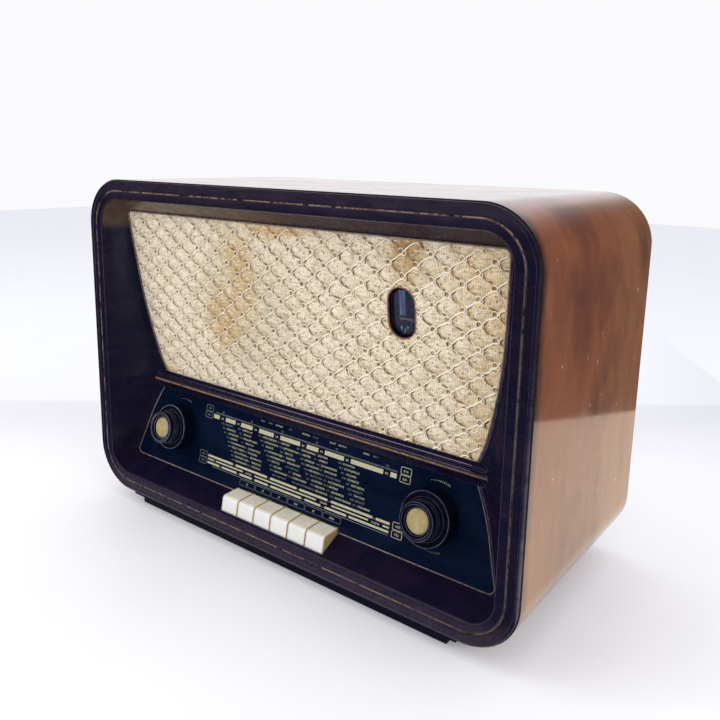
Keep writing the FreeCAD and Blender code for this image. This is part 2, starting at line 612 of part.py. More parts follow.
def make_knobs():
    for side, sign, outer, inner in (("left", "-", "tone_ring", "volume"),
                                     ("right", "", "fm_ring", "tuning")):
        place = (f"{sign}knob_x", "0", "-knob_z")
        rings = turned(outer + "_body", [
            ("-ring_back", "shaft_radius + fit_gap"), ("18", "shaft_radius + fit_gap"),
            ("18", "sleeve_radius"), ("-ring_back", "sleeve_radius"),
            ("-ring_back", "ring_radius + 0.6"), ("-ring_back - 2", "ring_radius + 0.8"),
            ("-ring_front + 1.6", "ring_radius"), ("-ring_front", "ring_radius - 1.4"),
            ("-ring_front", "knob_radius + 1.4"), ("-ring_front + 1.2", "knob_radius + 0.4"),
            ("-ring_front + 1.2", "shaft_radius + fit_gap")])
        node(outer, rings, "DIAL", place)
        knob = turned(inner + "_knob_body", [
            ("-ring_front + 0.9", "shaft_radius"), ("-ring_front + 0.9", "knob_radius - 0.2"),
            ("-knob_front + 1.4", "knob_radius - 0.5"), ("-knob_front", "knob_radius - 1.9"),
            ("-knob_front", "knob_radius - 3.2"), ("-knob_front + 1.2", "knob_radius - 4.4"),
            ("-knob_front + 2.2", "cap_radius + 0.6"), ("-cap_front + 2.2", "cap_radius"),
            ("-cap_front + 2.2", "shaft_radius")])
        node(inner + "_knob", knob, "DIAL", place)
        cap = turned(inner + "_cap_body", [
            ("-cap_front + 2.2", "0"), ("-cap_front + 2.2", "cap_radius"),
            ("-cap_front + 0.9", "cap_radius"), ("-cap_front + 0.2", "cap_radius - 1.2"),
            ("-cap_front - 0.3", "cap_radius * 0.45"), ("-cap_front - 0.4", "0")])
        node(inner + "_cap", cap, "DIAL", place)
        node(inner + "_shaft", cylinder(inner + "_shaft_rod", "shaft_radius", "cap_front + 31",
                                        (place[0], "-cap_front + 2.2", place[2]), "Y"), "DIAL")
        house = turned(inner + "_house_body", [
            ("plate_y + plate_thick", "sleeve_radius + fit_gap"), ("plate_y + plate_thick", "15"),
            ("38", "15"), ("40", "13"), ("40", "0"), ("34.5", "0"),
            ("34.5", "shaft_radius + fit_gap"), ("18.6", "shaft_radius + fit_gap"),
            ("18.6", "sleeve_radius + fit_gap")])
        node({"volume": "volume_control", "tuning": "tuning_bearing"}[inner], house, "DIAL", place)


# ---------------------------------------------------------------- piano keys
def make_keys():
    for n in range(6):
        name = f"key_{n + 1}"
        body = new_body(name + "_body")
        head = sketch_on(body, "YZ_Plane", name + "_head")
        outline(head, [("key_front", "key_foot"), ("key_front + 3", "key_top - 0.9"),
                       ("key_front + 24.6", "key_top"), ("key_front + 24.6", "key_top - 6"),
                       ("key_front + 22", "key_top - 8"), ("key_front + 18", "key_foot")])
        block = pad(body, head, "key_pitch - key_gap", middle=True)
        bend = d["key_top"] - 0.9
        fillet(body, block, "4.2", lambda e: len(e.Vertexes) == 2 and all(
            abs(v.Z - bend) < 0.01 for v in e.Vertexes) and e.Length > 5)
        arm = sketch_on(body, "YZ_Plane", name + "_arm")
        outline(arm, [("key_front + 16", "pivot_z - 4"), ("pivot_y + 5", "pivot_z - 4"),
                      ("pivot_y + 5", "pivot_z + 4"), ("key_front + 16", "pivot_z + 4")])
        pad(body, arm, "12", middle=True)
        bore = sketch_on(body, "YZ_Plane", name + "_bore")
        circle(bore, "pivot_radius + fit_gap", "pivot_y", "pivot_z")
        pocket(body, bore)
        node(name, body, "SET", (f"bank_x + ({n} - 2.5) * key_pitch", "0", "0"))
    half = "3 * key_pitch + 6"
    rod = cylinder("pivot_rod", "pivot_radius", f"2 * ({half}) + 4",
                   (f"bank_x - ({half}) - 2", "pivot_y", "pivot_z"), "X")
    node("key_pivot_rod", rod)
    plates = [box(f"bank_side_{n}", (x, "pivot_y - 20", "cabinet_wall"),
                  ("2", "34", "pivot_z + 8 - cabinet_wall"))
              for n, x in enumerate((f"bank_x - ({half})", f"bank_x + ({half}) - 2"))]
    base = box("bank_base", (f"bank_x - ({half})", "pivot_y - 20", "cabinet_wall"),
               (f"2 * ({half})", "34", "2"))
    bore = cylinder("bank_bore", "pivot_radius", f"2 * ({half}) + 8",
                    (f"bank_x - ({half}) - 4", "pivot_y", "pivot_z"), "X")
    node("key_bank_frame", cut("bank_cut", fuse("bank", base, *plates), bore))


# ---------------------------------------------------------------- chassis and valves
def make_chassis():
    deep = "chassis_rear - chassis_front"
    top = box("deck", ("-chassis_half", "chassis_front", "chassis_top - sheet_thick"),
              ("2 * chassis_half", deep, "sheet_thick"))
    skirts = [box(f"skirt_{n}", ("-chassis_half", y, "cabinet_wall"),
                  ("2 * chassis_half", "sheet_thick", "chassis_top - cabinet_wall"))
              for n, y in enumerate(("chassis_front", "chassis_rear - sheet_thick"))]
    lips = [box(f"lip_{n}", ("-chassis_half", y, "cabinet_wall"), ("2 * chassis_half", "14",
                                                                   "sheet_thick"))
            for n, y in enumerate(("chassis_front", "chassis_rear - 14"))]
    node("chassis", fuse("chassis_solid", top, *skirts, *lips))
    bolts = []
    for n, (x, y) in enumerate([(sx, sy) for sx in ("-200", "200") for sy in
                                ("chassis_front + 8", "chassis_rear - 8")]):
        head = cylinder(f"bolt_head_{n}", "4.5", "3", (x, y, "cabinet_wall + sheet_thick"))
        shank = cylinder(f"bolt_shank_{n}", "2", "cabinet_wall + 3",
                         (x, y, "sheet_thick - 1.5 + 1.5"))
        bolts.append(fuse(f"bolt_{n}", head, shank))
    node("chassis_bolts", bolts)


def valve(name, x, y, radius, length):
    """A noval valve standing in its socket: glass envelope with a drawn-out tip."""
    return fuse(name, cylinder(name + "_glass", radius, length, (x, y, "chassis_top + 9")),
                cylinder(name + "_tip", "2.2", f"{length} + 4", (x, y, "chassis_top + 9")))


SMALL_VALVES = [("14", "205"), ("58", "205"), ("104", "205")]
BIG_VALVES = [("-14", "150"), ("-212", "225")]


def make_chassis_parts():
    sockets = [cylinder(f"socket_{n}", "12", "9", (x, y, "chassis_top"))
               for n, (x, y) in enumerate(SMALL_VALVES + BIG_VALVES)]
    node("valve_sockets", sockets)
    node("small_valves", [valve(f"small_valve_{n}", x, y, "valve_radius", "44")
                          for n, (x, y) in enumerate(SMALL_VALVES)])
    node("power_valves", [valve(f"power_valve_{n}", x, y, "valve_radius", "62")
                          for n, (x, y) in enumerate(BIG_VALVES)])
    node("power_transformer", fuse(
        "power_solid", box("power_core", ("-200", "130", "chassis_top"), ("84", "66", "70")),
        box("power_coil", ("-184", "118", "chassis_top + 14"), ("52", "90", "42"))))
    node("output_transformer", fuse(
        "audio_solid", box("audio_core", ("-96", "188", "chassis_top"), ("48", "34", "40")),
        box("audio_coil", ("-86", "178", "chassis_top + 9"), ("28", "54", "22"))))
    node("smoothing_capacitor", fuse(
        "can_solid", cylinder("can", "17", "72", ("-74", "146", "chassis_top")),
        cylinder("can_base", "19", "3", ("-74", "146", "chassis_top"))))
    cans = [box(f"if_can_{n}", (x, "150", "chassis_top"), ("24", "24", "56"))
            for n, x in enumerate(("18", "196"))]
    node("if_cans", cans)
    node("fm_tuner_box", fuse(
        "fm_box", box("fm_case", ("146", "116", "chassis_top"), ("46", "66", "48")),
        box("fm_flange", ("142", "116", "chassis_top"), ("54", "66", "1.5"))))
    node("ferrite_aerial", fuse(
        "aerial", cylinder("aerial_rod", "5", "190", ("-40", "236", "150"), "X"),
        box("aerial_post_0", ("-34", "233", "chassis_top"), ("6", "6", "90")),
        box("aerial_post_1", ("138", "233", "chassis_top"), ("6", "6", "90"))))
    strip = box("strip", ("-50", "chassis_rear", "22"), ("160", "2.5", "30"))
    holes = [cylinder(f"strip_hole_{n}", "2", "6", (f"-38 + {n} * 19", "chassis_rear - 1", z), "Y")
             for n in range(8) for z in ("37",)]
    node("socket_strip", cut("strip_cut", strip, *holes))


def make_gang():
    """Two-section tuning capacitor: a U frame with fixed plates, and rotor, shaft and drum."""
    front, rear = "122", "178"
    ends = [box(f"gang_end_{n}", ("gang_x - 24", y, "chassis_top"), ("48", "3", "gang_z - 32"))
            for n, y in enumerate((front, f"{rear} - 3"))]
    base = box("gang_base", ("gang_x - 24", front, "chassis_top"), ("48", f"{rear} - {front}", "2"))
    bridge = box("gang_bridge", ("gang_x - 24", front, "gang_z - 3"), ("2", f"{rear} - {front}", "6"))
    plates = [box(f"stator_{n}", ("gang_x - 22", f"130 + {n} * 9", "gang_z - 3"), ("17", "1", "6"))
              for n in range(5)]
    bore = cylinder("gang_bore", "shaft_radius + fit_gap", "80", ("gang_x", "110", "gang_z"), "Y")
    node("tuning_gang_frame", cut("gang_cut", fuse("gang", base, bridge, *ends, *plates), bore))
    shaft = cylinder("rotor_shaft", "shaft_radius", "88", ("gang_x", "92", "gang_z"), "Y")
    blades = []
    for n in range(4):
        disc = cylinder(f"blade_disc_{n}", "rotor_radius", "1",
                        ("gang_x", f"134.5 + {n} * 9", "gang_z"), "Y")
        slot = box(f"blade_cut_{n}", ("gang_x - rotor_radius - 1", f"134 + {n} * 9",
                                      "gang_z + shaft_radius - 1"),
                   ("2 * rotor_radius + 2", "2", "rotor_radius"))
        blades.append(cut(f"blade_{n}", disc, slot))
    node("tuning_rotor", fuse("rotor", shaft, *blades))
    drum = turned("drum_body", [("0", "shaft_radius"), ("0", "drum_radius"), ("2", "drum_radius"),
                                ("3", "drum_radius - 2"), ("4", "drum_radius"),
                                ("6", "drum_radius"), ("6", "shaft_radius")])
    node("drive_drum", drum, "SET", ("gang_x", "93", "gang_z"))


# ---------------------------------------------------------------- back, plinth and feet
def make_back():
    front = "cabinet_back - panel_inset - panel_thick"
    body = new_body("panel_body")
    half, low = "cabinet_width / 2 - cabinet_wall - 0.8", "cabinet_wall + 0.8"
    high = "cabinet_height - cabinet_wall - 0.8"
    rim = sketch_on(body, "XZ_Plane", "panel_rim", f"-({front})")
    outline(rim, [(f"-({half})", low), (half, low), (half, high), (f"-({half})", high)])
    block = pad(body, rim, "panel_thick", reverse=True)
    fillet(body, block, "cabinet_radius - cabinet_wall - 0.8", along_y)
    window = sketch_on(body, "XZ_Plane", "panel_window")
    outline(window, [("-54", "20"), ("114", "20"), ("114", "54"), ("-54", "54")])
    pocket(body, window)
    inlet = sketch_on(body, "XZ_Plane", "panel_inlet")
    circle(inlet, "6", "-180", "38")
    pocket(body, inlet)
    for n in range(9):
        row = sketch_on(body, "XZ_Plane", f"vent_{n}")
        z = 84 + 26 * n
        outline(row, [("-212", f"{z}"), ("-184", f"{z}"), ("-184", f"{z + 7}"), ("-212", f"{z + 7}")])
        slot = pocket(body, row)
        repeat = body.newObject("PartDesign::LinearPattern", f"vent_row_{n}")
        repeat.Originals = [slot]
        repeat.Direction = (row, ["H_Axis"])
        repeat.Length = 396
        repeat.Occurrences = 10
        body.Tip = repeat
    node("back_panel", body)

    side = "cabinet_width / 2 - cabinet_wall"
    cleats, screws = [], []
    for n, (sign, z) in enumerate([(s, z) for s in ("-", "") for z in ("70", "270")]):
        x = f"-({side})" if sign else f"{side} - 18"
        cleats.append(box(f"cleat_{n}", (x, f"{front} - 20", z), ("18", "20", "36")))
        middle = (f"{sign}({side} - 9)", f"{z} + 18")
        head = cylinder(f"screw_head_{n}", "3.8", "1.4",
                        (middle[0], f"{front} + panel_thick", middle[1]), "Y")
        shank = cylinder(f"screw_shank_{n}", "1.6", "16",
                         (middle[0], f"{front} + panel_thick - 15", middle[1]), "Y")
        screws.append(fuse(f"screw_{n}", head, shank))
    node("back_cleats", cleats)
    node("back_screws", screws)

    gland = turned("gland_body", [
        ("-2.5", "3.2"), ("-2.5", "8"), ("0", "8"), ("0", "6"), ("panel_thick", "6"),
        ("panel_thick", "8.5"), ("panel_thick + 1.4", "7.5"), ("panel_thick + 1.4", "3.2")])
    node("cord_gland", gland, "SET", ("-180", front, "38"))


def make_plinth():
    upper = box("lip", ("-lip_half", "lip_front", "-lip_drop"),
                ("2 * lip_half", "26", "lip_drop"))
    lower = box("lower", ("-plinth_half", "plinth_front", "-plinth_drop"),
                ("2 * plinth_half", "22", "plinth_drop - 1"))
    runners = [box(f"runner_{n}", (x, "plinth_front + 22", "-plinth_drop"),
                   ("24", "206", "plinth_drop"))
               for n, x in enumerate(("-plinth_half", "plinth_half - 24"))]
    node("plinth", fuse("plinth_solid", upper, lower, *runners))
    pads = [cylinder(f"felt_{n}", "9", "foot_height - plinth_drop", (x, y, "-foot_height"))
            for n, (x, y) in enumerate([(x, y) for x in ("-plinth_half + 12", "plinth_half - 12")
                                        for y in ("48", "220")])]
    node("felt_pads", pads)


make_cabinet()
make_surround()
make_trims()
make_grille()
make_eye()
make_speaker()
make_dial()
make_knobs()
make_keys()
make_chassis()
make_chassis_parts()
make_gang()
make_back()
make_plinth()
doc.recompute()

bad = [o.Name for o in doc.Objects if "Invalid" in o.State or "Error" in o.State]
for obj in nodes:
    if obj.Shape.isNull() or not obj.Shape.isValid() or not obj.Shape.Solids:
        bad.append(obj.Label)
if bad:
    raise RuntimeError("failed objects: " + ", ".join(bad))
os.makedirs("parts", exist_ok=True)
for obj in nodes:
    obj.Shape.exportStep(os.path.join("parts", obj.Label + ".step"))
print(len(nodes), "sub-parts written")
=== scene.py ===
"""Looks for the table radio: veneered wrap, moulded front, cloth, printed dial, keys and tuning eye."""

import json
import random
from itertools import groupby
from math import copysign, cos, hypot, pi, radians, sin

import bmesh
import bpy
import numpy as np
from mathutils import Euler, Matrix, Vector


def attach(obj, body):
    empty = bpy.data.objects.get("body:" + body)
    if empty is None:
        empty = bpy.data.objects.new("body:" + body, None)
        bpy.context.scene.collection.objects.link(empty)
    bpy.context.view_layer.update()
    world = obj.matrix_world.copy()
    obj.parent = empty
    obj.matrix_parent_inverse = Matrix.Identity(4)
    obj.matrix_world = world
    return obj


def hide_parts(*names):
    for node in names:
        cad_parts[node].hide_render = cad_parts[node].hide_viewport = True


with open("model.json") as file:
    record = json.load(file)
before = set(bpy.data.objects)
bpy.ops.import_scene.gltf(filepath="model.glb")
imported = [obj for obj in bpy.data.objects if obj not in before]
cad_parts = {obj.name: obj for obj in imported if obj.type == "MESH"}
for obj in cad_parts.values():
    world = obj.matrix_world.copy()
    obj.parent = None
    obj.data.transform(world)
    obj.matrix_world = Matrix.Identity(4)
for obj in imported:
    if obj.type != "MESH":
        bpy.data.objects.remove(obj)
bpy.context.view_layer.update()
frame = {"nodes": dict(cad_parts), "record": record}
CAD_NODES = frame["nodes"]
scene = bpy.context.scene
rng = random.Random(7)
between = rng.uniform

# The cabinet's own drawing, in millimetres: x from the middle, y from the front edge, z from its underside.
MIDDLE_Y, FOOT = 129.0, 15.0
WAIST_Y, WAIST_Z = 48.85, 134.15
GRILLE_LEAN, DIAL_LEAN = 7.09, -12.64
RAIL_RIDGE_Y, RAIL_RIDGE_Z = 42.6, 139.3
# One ring of the grille's net, and the rings' spacing, on the grille plane.
NET_X, NET_Z, NET_PITCH_X, NET_PITCH_Z = 169.2, 79.2, 29.6, 22.0
# Depth of the copper lip in the eye's slot, in metres.
SLEEVE_LIP = 0.0017


def leaning(degrees):
    """Puts (x, depth, height) millimetres of a plane that leans at the waist into the row frame."""
    c, s = cos(radians(degrees)), sin(radians(degrees))

    def put(x, y, z):
        return Vector((x, WAIST_Y + y * c - z * s - MIDDLE_Y, WAIST_Z + y * s + z * c + FOOT)) / 1000
    return put


on_grille, on_dial = leaning(GRILLE_LEAN), leaning(DIAL_LEAN)


def add_node(tree, kind, inputs=None, out=0, **props):
    """Adds a shader node, links or sets its inputs, and returns one of its outputs."""
    node = tree.nodes.new("ShaderNode" + kind)
    for key, value in props.items():
        setattr(node, key, value)
    for key, value in (inputs or {}).items():
        if isinstance(value, bpy.types.NodeSocket):
            tree.links.new(value, node.inputs[key])
        else:
            node.inputs[key].default_value = value
    return node.outputs[out]


# ---- materials
class Paint:
    """A node material under construction; its helpers return output sockets."""

    def __init__(self, name, **fixed):
        self.mat = bpy.data.materials.new(name)
        self.mat.use_nodes = True
        self.tree = self.mat.node_tree
        self.tree.nodes.clear()
        self.out = self.tree.nodes.new("ShaderNodeOutputMaterial")
        self.shader = self.tree.nodes.new("ShaderNodeBsdfPrincipled")
        self.tree.links.new(self.shader.outputs[0], self.out.inputs[0])
        for key, value in fixed.items():
            self.socket(key).default_value = value

    def socket(self, key):
        """The shader's input for a key such as coat_ior."""
        return self.shader.inputs[key.replace("_", " ").title().replace("Ior", "IOR")]

    def set(self, **sockets):
        for key, value in sockets.items():
            self.tree.links.new(value, self.socket(key))

    def node(self, kind, inputs=None, out=0, **props):
        return add_node(self.tree, kind, inputs, out, **props)

    def coords(self, scale=(1, 1, 1), turn=(0, 0, 0), shift=(0, 0, 0)):
        where = self.node("TexCoord", out="Object")
        return self.node("Mapping", {"Vector": where, "Scale": scale, "Rotation": turn, "Location": shift})

    def axis(self, letter, vector=None):
        """The X, Y or Z part of a vector, or else of the place on the part."""
        return self.node("SeparateXYZ", {0: vector or self.node("TexCoord", out="Object")}, out=letter)

    def slope(self, letter):
        """The X, Y or Z part of the direction that a face looks in."""
        return self.axis(letter, self.node("NewGeometry", out="True Normal"))

    def noise(self, scale, detail=4.0, rough=0.55, vector=None, bend=0.0):
        return self.node("TexNoise", {"Vector": vector or self.coords(), "Scale": scale, "Detail": detail,
                                      "Roughness": rough, "Distortion": bend})

    def waves(self, scale, vector=None, bend=0.0, detail=2.0, direction="X"):
        return self.node("TexWave", {"Vector": vector or self.coords(), "Scale": scale, "Distortion": bend,
                                     "Detail": detail}, out=1, bands_direction=direction)

    def ramp(self, value, *stops):
        node = self.tree.nodes.new("ShaderNodeValToRGB")
        elements = node.color_ramp.elements
        while len(elements) < len(stops):
            elements.new(0.5)
        for element, (place, colour) in zip(elements, stops):
            element.position = place
            element.color = (*colour, 1)
        self.tree.links.new(value, node.inputs[0])
        return node.outputs[0]

    def band(self, value, low, high, to_low=0.0, to_high=1.0):
        """A smooth step from to_low to to_high as the value goes from low to high."""
        return self.node("MapRange", {"Value": value, "From Min": low, "From Max": high,
                                      "To Min": to_low, "To Max": to_high}, interpolation_type="SMOOTHSTEP")

    def math(self, operation, *values):
        """Two or more values joined one after another, or one value changed."""
        made = values[0]
        for other in values[1:] or (0.0,):
            made = self.node("Math", {0: made, 1: other}, operation=operation)
        return made

    def sum(self, *values):
        return self.math("ADD", *values)

    def times(self, *values):
        return self.math("MULTIPLY", *values)

    def most(self, *values):
        return self.math("MAXIMUM", *values)

    def vector(self, operation, *vectors, out=0):
        return self.node("VectorMath", dict(enumerate(vectors)), out, operation=operation)

    def away(self, centre, reach):
        """Distance from a centre, each axis stretched by its own factor."""
        offset = self.vector("SUBTRACT", self.node("TexCoord", out="Object"), centre)
        return self.vector("LENGTH", self.vector("MULTIPLY", offset, reach), out="Value")

    def mix(self, share, a, b, mode="MIX"):
        a, b = ((*colour, 1) if isinstance(colour, tuple) else colour for colour in (a, b))
        return self.node("Mix", {0: share, 6: a, 7: b}, 2, data_type="RGBA", blend_type=mode)

    def layers(self, colour, *coats):
        """Lays (share, tint) coats over a colour, one after another."""
        for share, tint in coats:
            colour = self.mix(share, colour, tint)
        return colour

    def edges(self, radius, low=0.80, high=0.97):
        """1 along the edges of a shape, falling to 0 within `radius`."""
        turned = self.vector("DOT_PRODUCT", self.node("Bevel", {"Radius": radius}, samples=6),
                             self.node("NewGeometry", out="Normal"), out="Value")
        return self.band(turned, low, high, 1.0, 0.0)

    def bump(self, height, strength=0.3, distance=0.0005, rounded=0.0):
        """Gives the material its relief, and returns the finished material."""
        inputs = {"Height": height, "Strength": strength, "Distance": distance}
        if rounded:
            inputs["Normal"] = self.node("Bevel", {"Radius": rounded}, samples=4)
        self.set(normal=self.node("Bump", inputs))
        return self.mat


def plain(name, dark, light, scale, rough, bump=0.25, grain=(1, 1, 1), dust=0.0, **fixed):
    """A worked surface: two-tone mottling, dust, uneven gloss and a fine relief."""
    p = Paint(name, **fixed)
    where = p.coords(grain)
    broad = p.noise(scale, 5, 0.6, where)
    fine = p.noise(scale * 7, 4, 0.6, where)
    colour = p.mix(p.band(broad, 0.3, 0.7), dark, light)
    if dust:
        specks = p.times(p.band(p.noise(900, 2), 0.62, 0.72), dust)
        colour = p.mix(specks, colour, (0.5, 0.48, 0.44))
    p.set(base_color=colour, roughness=p.band(fine, 0.25, 0.75, rough - 0.07, rough + 0.1))
    return p.bump(p.sum(p.times(broad, 0.5), fine), bump, 0.0003)


def walnut():
    """Varnished veneer: the grain runs over the top and down the sides, so it varies from front to back."""
    p = Paint("walnut_veneer", coat_weight=1.0, coat_ior=1.68, specular_ior_level=0.15)
    drift = p.noise(4.5, 3, 0.5, p.coords(shift=(0.3, 0.1, 0.6)))
    drift = p.vector("MULTIPLY", drift, (0.0, 5.0, 0.0))
    streaks = p.noise(1.0, 6, 0.6, p.vector("ADD", p.coords((2.6, 78, 2.6)), drift))
    fine = p.noise(1.0, 5, 0.7, p.coords((12, 640, 12)))
    pores = p.noise(1.0, 2, 0.5, p.coords((60, 1500, 60)))
    cloud = p.noise(11, 5, 0.62, p.coords((1, 2.0, 0.8)))
    blot = p.noise(7.5, 5, 0.65, p.coords((1, 1.3, 1.0), shift=(0.2, 0.9, 0.45)))
    # Painted shade over the upper middle of the sides, most on the right-hand one, broken up by the blots.
    shade = p.sum(p.away((0.28, -0.045, 0.305), (1, 11, 8)), p.times(blot, 2.0))
    golden = p.sum(p.axis("Y"), p.times(blot, 0.10))
    nicks = p.band(p.noise(230, 2, 0.5, p.coords((1, 1, 0.6))), 0.725, 0.745)
    patches = p.band(p.noise(13, 2), 0.48, 0.60)
    scratches = p.band(p.noise(1.0, 1, 0.5, p.coords((16, 900, 34), (0.5, 0.0, 0.2))), 0.775, 0.79)
    scratches = p.times(scratches, p.band(p.noise(11, 2), 0.50, 0.64))
    marks = p.most(p.times(nicks, patches), scratches)
    # Painted shade: the veneer turns near black along its front edge, where the moulding meets it.
    edge = p.sum(p.axis("Y"), p.times(p.noise(45, 4, 0.6), 0.010))
    tone = p.layers(
        p.ramp(streaks, (0.15, (0.190, 0.054, 0.022)), (0.45, (0.222, 0.069, 0.027)),
               (0.62, (0.245, 0.080, 0.031)), (0.90, (0.285, 0.103, 0.040))),
        (p.band(golden, 0.03, 0.14, 0.0, 0.60), (0.290, 0.128, 0.052)),
        (p.band(cloud, 0.45, 0.72, 0.0, 0.60), (0.140, 0.042, 0.021)),
        (p.band(blot, 0.50, 0.68, 0.0, 0.65), (0.100, 0.032, 0.020)),
        (p.band(shade, 0.9, 1.6, 0.75, 0.0), (0.072, 0.026, 0.020)),
        (p.band(blot, 0.30, 0.44, 0.55, 0.0), (0.310, 0.125, 0.046)),
        (p.band(fine, 0.5, 0.8, 0.0, 0.35), (0.120, 0.038, 0.021)),
        (p.band(pores, 0.62, 0.72, 0.0, 0.55), (0.065, 0.022, 0.013)),
        (p.times(marks, 0.8), (0.66, 0.50, 0.35)),
        (p.band(edge, -0.1245, -0.1095, 0.93, 0.0), (0.018, 0.0095, 0.012)))
    haze = p.band(p.noise(24, 5, 0.65), 0.35, 0.7, 0.06, 0.13)
    wipes = p.band(p.noise(1.0, 3, 0.6, p.coords((30, 260, 6))), 0.5, 0.8, 0.0, 0.05)
    ripple = p.sum(p.noise(26, 3), p.times(streaks, 0.05))
    p.set(base_color=tone, roughness=p.band(cloud, 0.3, 0.7, 0.42, 0.58), coat_roughness=p.sum(haze, wipes),
          coat_normal=p.node("Bump", {"Height": ripple, "Strength": 0.20, "Distance": 0.0004}))
    return p.bump(p.sum(p.times(pores, 0.8), p.sum(fine, p.times(marks, 3.0))), 0.3, 0.0002)


def bakelite(name, dark, light, rough=0.2, rounded=0.0011, shine=0.26):
    """Moulded phenolic: deep aubergine, flow mottling, fine dust, handling wear and duller patches, with
    painted highlights and sheen on its edges and rim, and a painted reflection of the cloth in its hollow.
    """
    p = Paint(name, coat_weight=0.10, coat_roughness=0.08, specular_ior_level=0.26)
    flow = p.noise(18, 6, 0.65, p.coords((1, 1, 2.4)), 1.2)
    rubbed = p.band(p.noise(34, 5, 0.7), 0.55, 0.74)
    # Painted highlights: paler lilac lines along the edges, broken up by noise.
    worn = p.times(p.edges(rounded * 0.9), p.band(p.noise(28, 4, 0.7), 0.3, 0.6, 0.35, 0.95))
    specks = p.times(p.band(p.noise(720, 2, 0.5), 0.70, 0.76), 0.35)
    # Behind the rim, faces that look up, down or left shine less, and the hollow's upper part holds dust and
    # a painted reflection of the cloth, tan towards the left.
    inside = p.band(p.axis("Y"), -0.1300, -0.1288)
    upper = p.times(inside, p.band(p.axis("Z"), 0.325, 0.338))
    upward, downward = p.band(p.slope("Z"), 0.12, 0.45), p.band(p.slope("Z"), -0.75, -0.35, 1.0, 0.0)
    leftward = p.band(p.slope("X"), -0.7, -0.3, 1.0, 0.0)
    sheltered = p.times(inside, p.most(upward, downward, leftward))
    dust_and_reflection = p.mix(p.band(p.axis("X"), -0.20, 0.12), (0.105, 0.068, 0.040), (0.034, 0.017, 0.024))
    # Painted highlight: the rim is pale on its right-hand lip, and greyer along its foot and its top with
    # dust and painted sheen.
    lip = p.times(p.band(p.axis("X"), 0.2758, 0.2785), p.band(p.axis("Z"), 0.06, 0.30, 0.65, 0.05),
                  p.band(flow, 0.3, 0.6, 0.35, 1.0))
    # Dust and painted sheen along the rim's foot and its top.
    dust_and_sheen = p.most(p.band(p.axis("Z"), 0.030, 0.055, 1.0, 0.0),
                     p.band(p.axis("Z"), 0.360, 0.375, 0.0, 0.7))
    dust_and_sheen = p.times(dust_and_sheen, p.band(inside, 0.0, 1.0, 1.0, 0.0), p.band(flow, 0.25, 0.65, 0.45, 1.0))
    colour = p.layers(
        p.mix(p.band(flow, 0.32, 0.70), dark, light),
        (p.times(rubbed, 0.30), (0.026, 0.014, 0.024)),
        (worn, (0.20, 0.165, 0.245)),
        (specks, (0.16, 0.14, 0.15)),
        (p.times(upper, p.band(flow, 0.2, 0.8, 0.5, 1.0)), dust_and_reflection),
        (lip, (0.155, 0.130, 0.165)),
        (dust_and_sheen, (0.034, 0.024, 0.040)))
    fading = p.band(p.axis("X"), -0.22, 0.04, 0.18, 0.03)
    p.set(base_color=colour,
          roughness=p.sum(p.band(p.noise(60, 5, 0.7), 0.3, 0.7, rough, rough + 0.12), p.times(rubbed, 0.08)),
          specular_ior_level=p.band(upper, 0.0, 1.0, p.band(sheltered, 0.0, 1.0, shine, 0.02), fading),
          coat_weight=p.band(sheltered, 0.0, 1.0, shine * 0.4, 0.0))
    relief = p.sum(p.times(p.noise(45, 3), 1.4), p.times(p.noise(240, 4, 0.6), 0.25))
    return p.bump(relief, 0.22, 0.0005, rounded)


def worn_line(name, bright, dull, gap, metal, break_low, border):
    """A metal-coloured line, rubbed away here and there and dark along both borders."""
    p = Paint(name, metallic=metal, specular_ior_level=0.3)
    rub = p.noise(95, 4, 0.65)
    flat = p.band(p.math("ABSOLUTE", p.slope("Y")), 0.80, 0.94, 1.0, 0.0)
    dim = p.times(p.band(p.axis("X"), 0.12, 0.25), p.band(p.axis("Z"), 0.33, 0.37, 0.55, 0.0))
    colour = p.mix(p.band(p.noise(240, 3), 0.35, 0.7), bright, dull)
    colour = p.layers(colour, *((share, gap) for share in (
        p.band(rub, break_low, break_low + 0.12), p.edges(border, 0.965, 0.999), flat, dim)))
    p.set(base_color=colour, roughness=p.band(rub, 0.3, 0.7, 0.30, 0.55))
    return p.bump(p.noise(500, 3), 0.35, 0.0003)


# Water stains on the cloth, and painted shade on its right (the entry at 0.250, 0, 0.260): centre, spread
# factor by axis, strength and tint.
TAN, BROWN = (0.87, 0.71, 0.46), (0.66, 0.52, 0.29)
STAINS_AND_SHADE = (((-0.066, 0, 0.286), (21, 0, 11.0), 1.0, TAN), ((-0.100, 0, 0.240), (24, 0, 14), 1.0, TAN),
          ((0.000, 0, 0.343), (13, 0, 70), 0.95, TAN), ((0.142, 0, 0.333), (28, 0, 18), 0.9, BROWN),
          ((0.146, 0, 0.346), (34, 0, 32), 0.8, BROWN), ((0.250, 0, 0.260), (9, 0, 3), 0.6, TAN),
          ((-0.205, 0, 0.155), (34, 0, 45), 0.8, TAN), ((0.110, 0, 0.155), (9, 0, 75), 0.6, TAN))
SPEAKER_HOLE = (-0.06, 0, 0.252)


def net_cell_shade(p):
    """Painted shade on the cloth to the left of and below each cell of the net."""
    lean = cos(radians(GRILLE_LEAN))
    height = (WAIST_Z + FOOT) / lean + NET_Z
    wander = p.band(p.noise(110, 4, 0.65), 0.2, 0.8, -0.16, 0.16)
    along = p.sum(p.times(p.axis("X"), 1000 / NET_PITCH_X), p.sum(wander, -NET_X / NET_PITCH_X))
    up = p.sum(p.times(p.axis("Z"), 1000 / (lean * NET_PITCH_Z)), -height / NET_PITCH_Z)
    left_low = p.band(p.math("FRACT", p.sum(along, up)), 0.06, 0.34, 1.0, 0.0)
    right_low = p.band(p.math("FRACT", p.math("SUBTRACT", along, up)), 0.74, 0.97)
    broken = p.band(p.noise(230, 4, 0.7), 0.34, 0.66, 0.25, 1.0)
    return p.times(p.most(left_low, p.times(right_low, 0.6)), broken, 0.9)


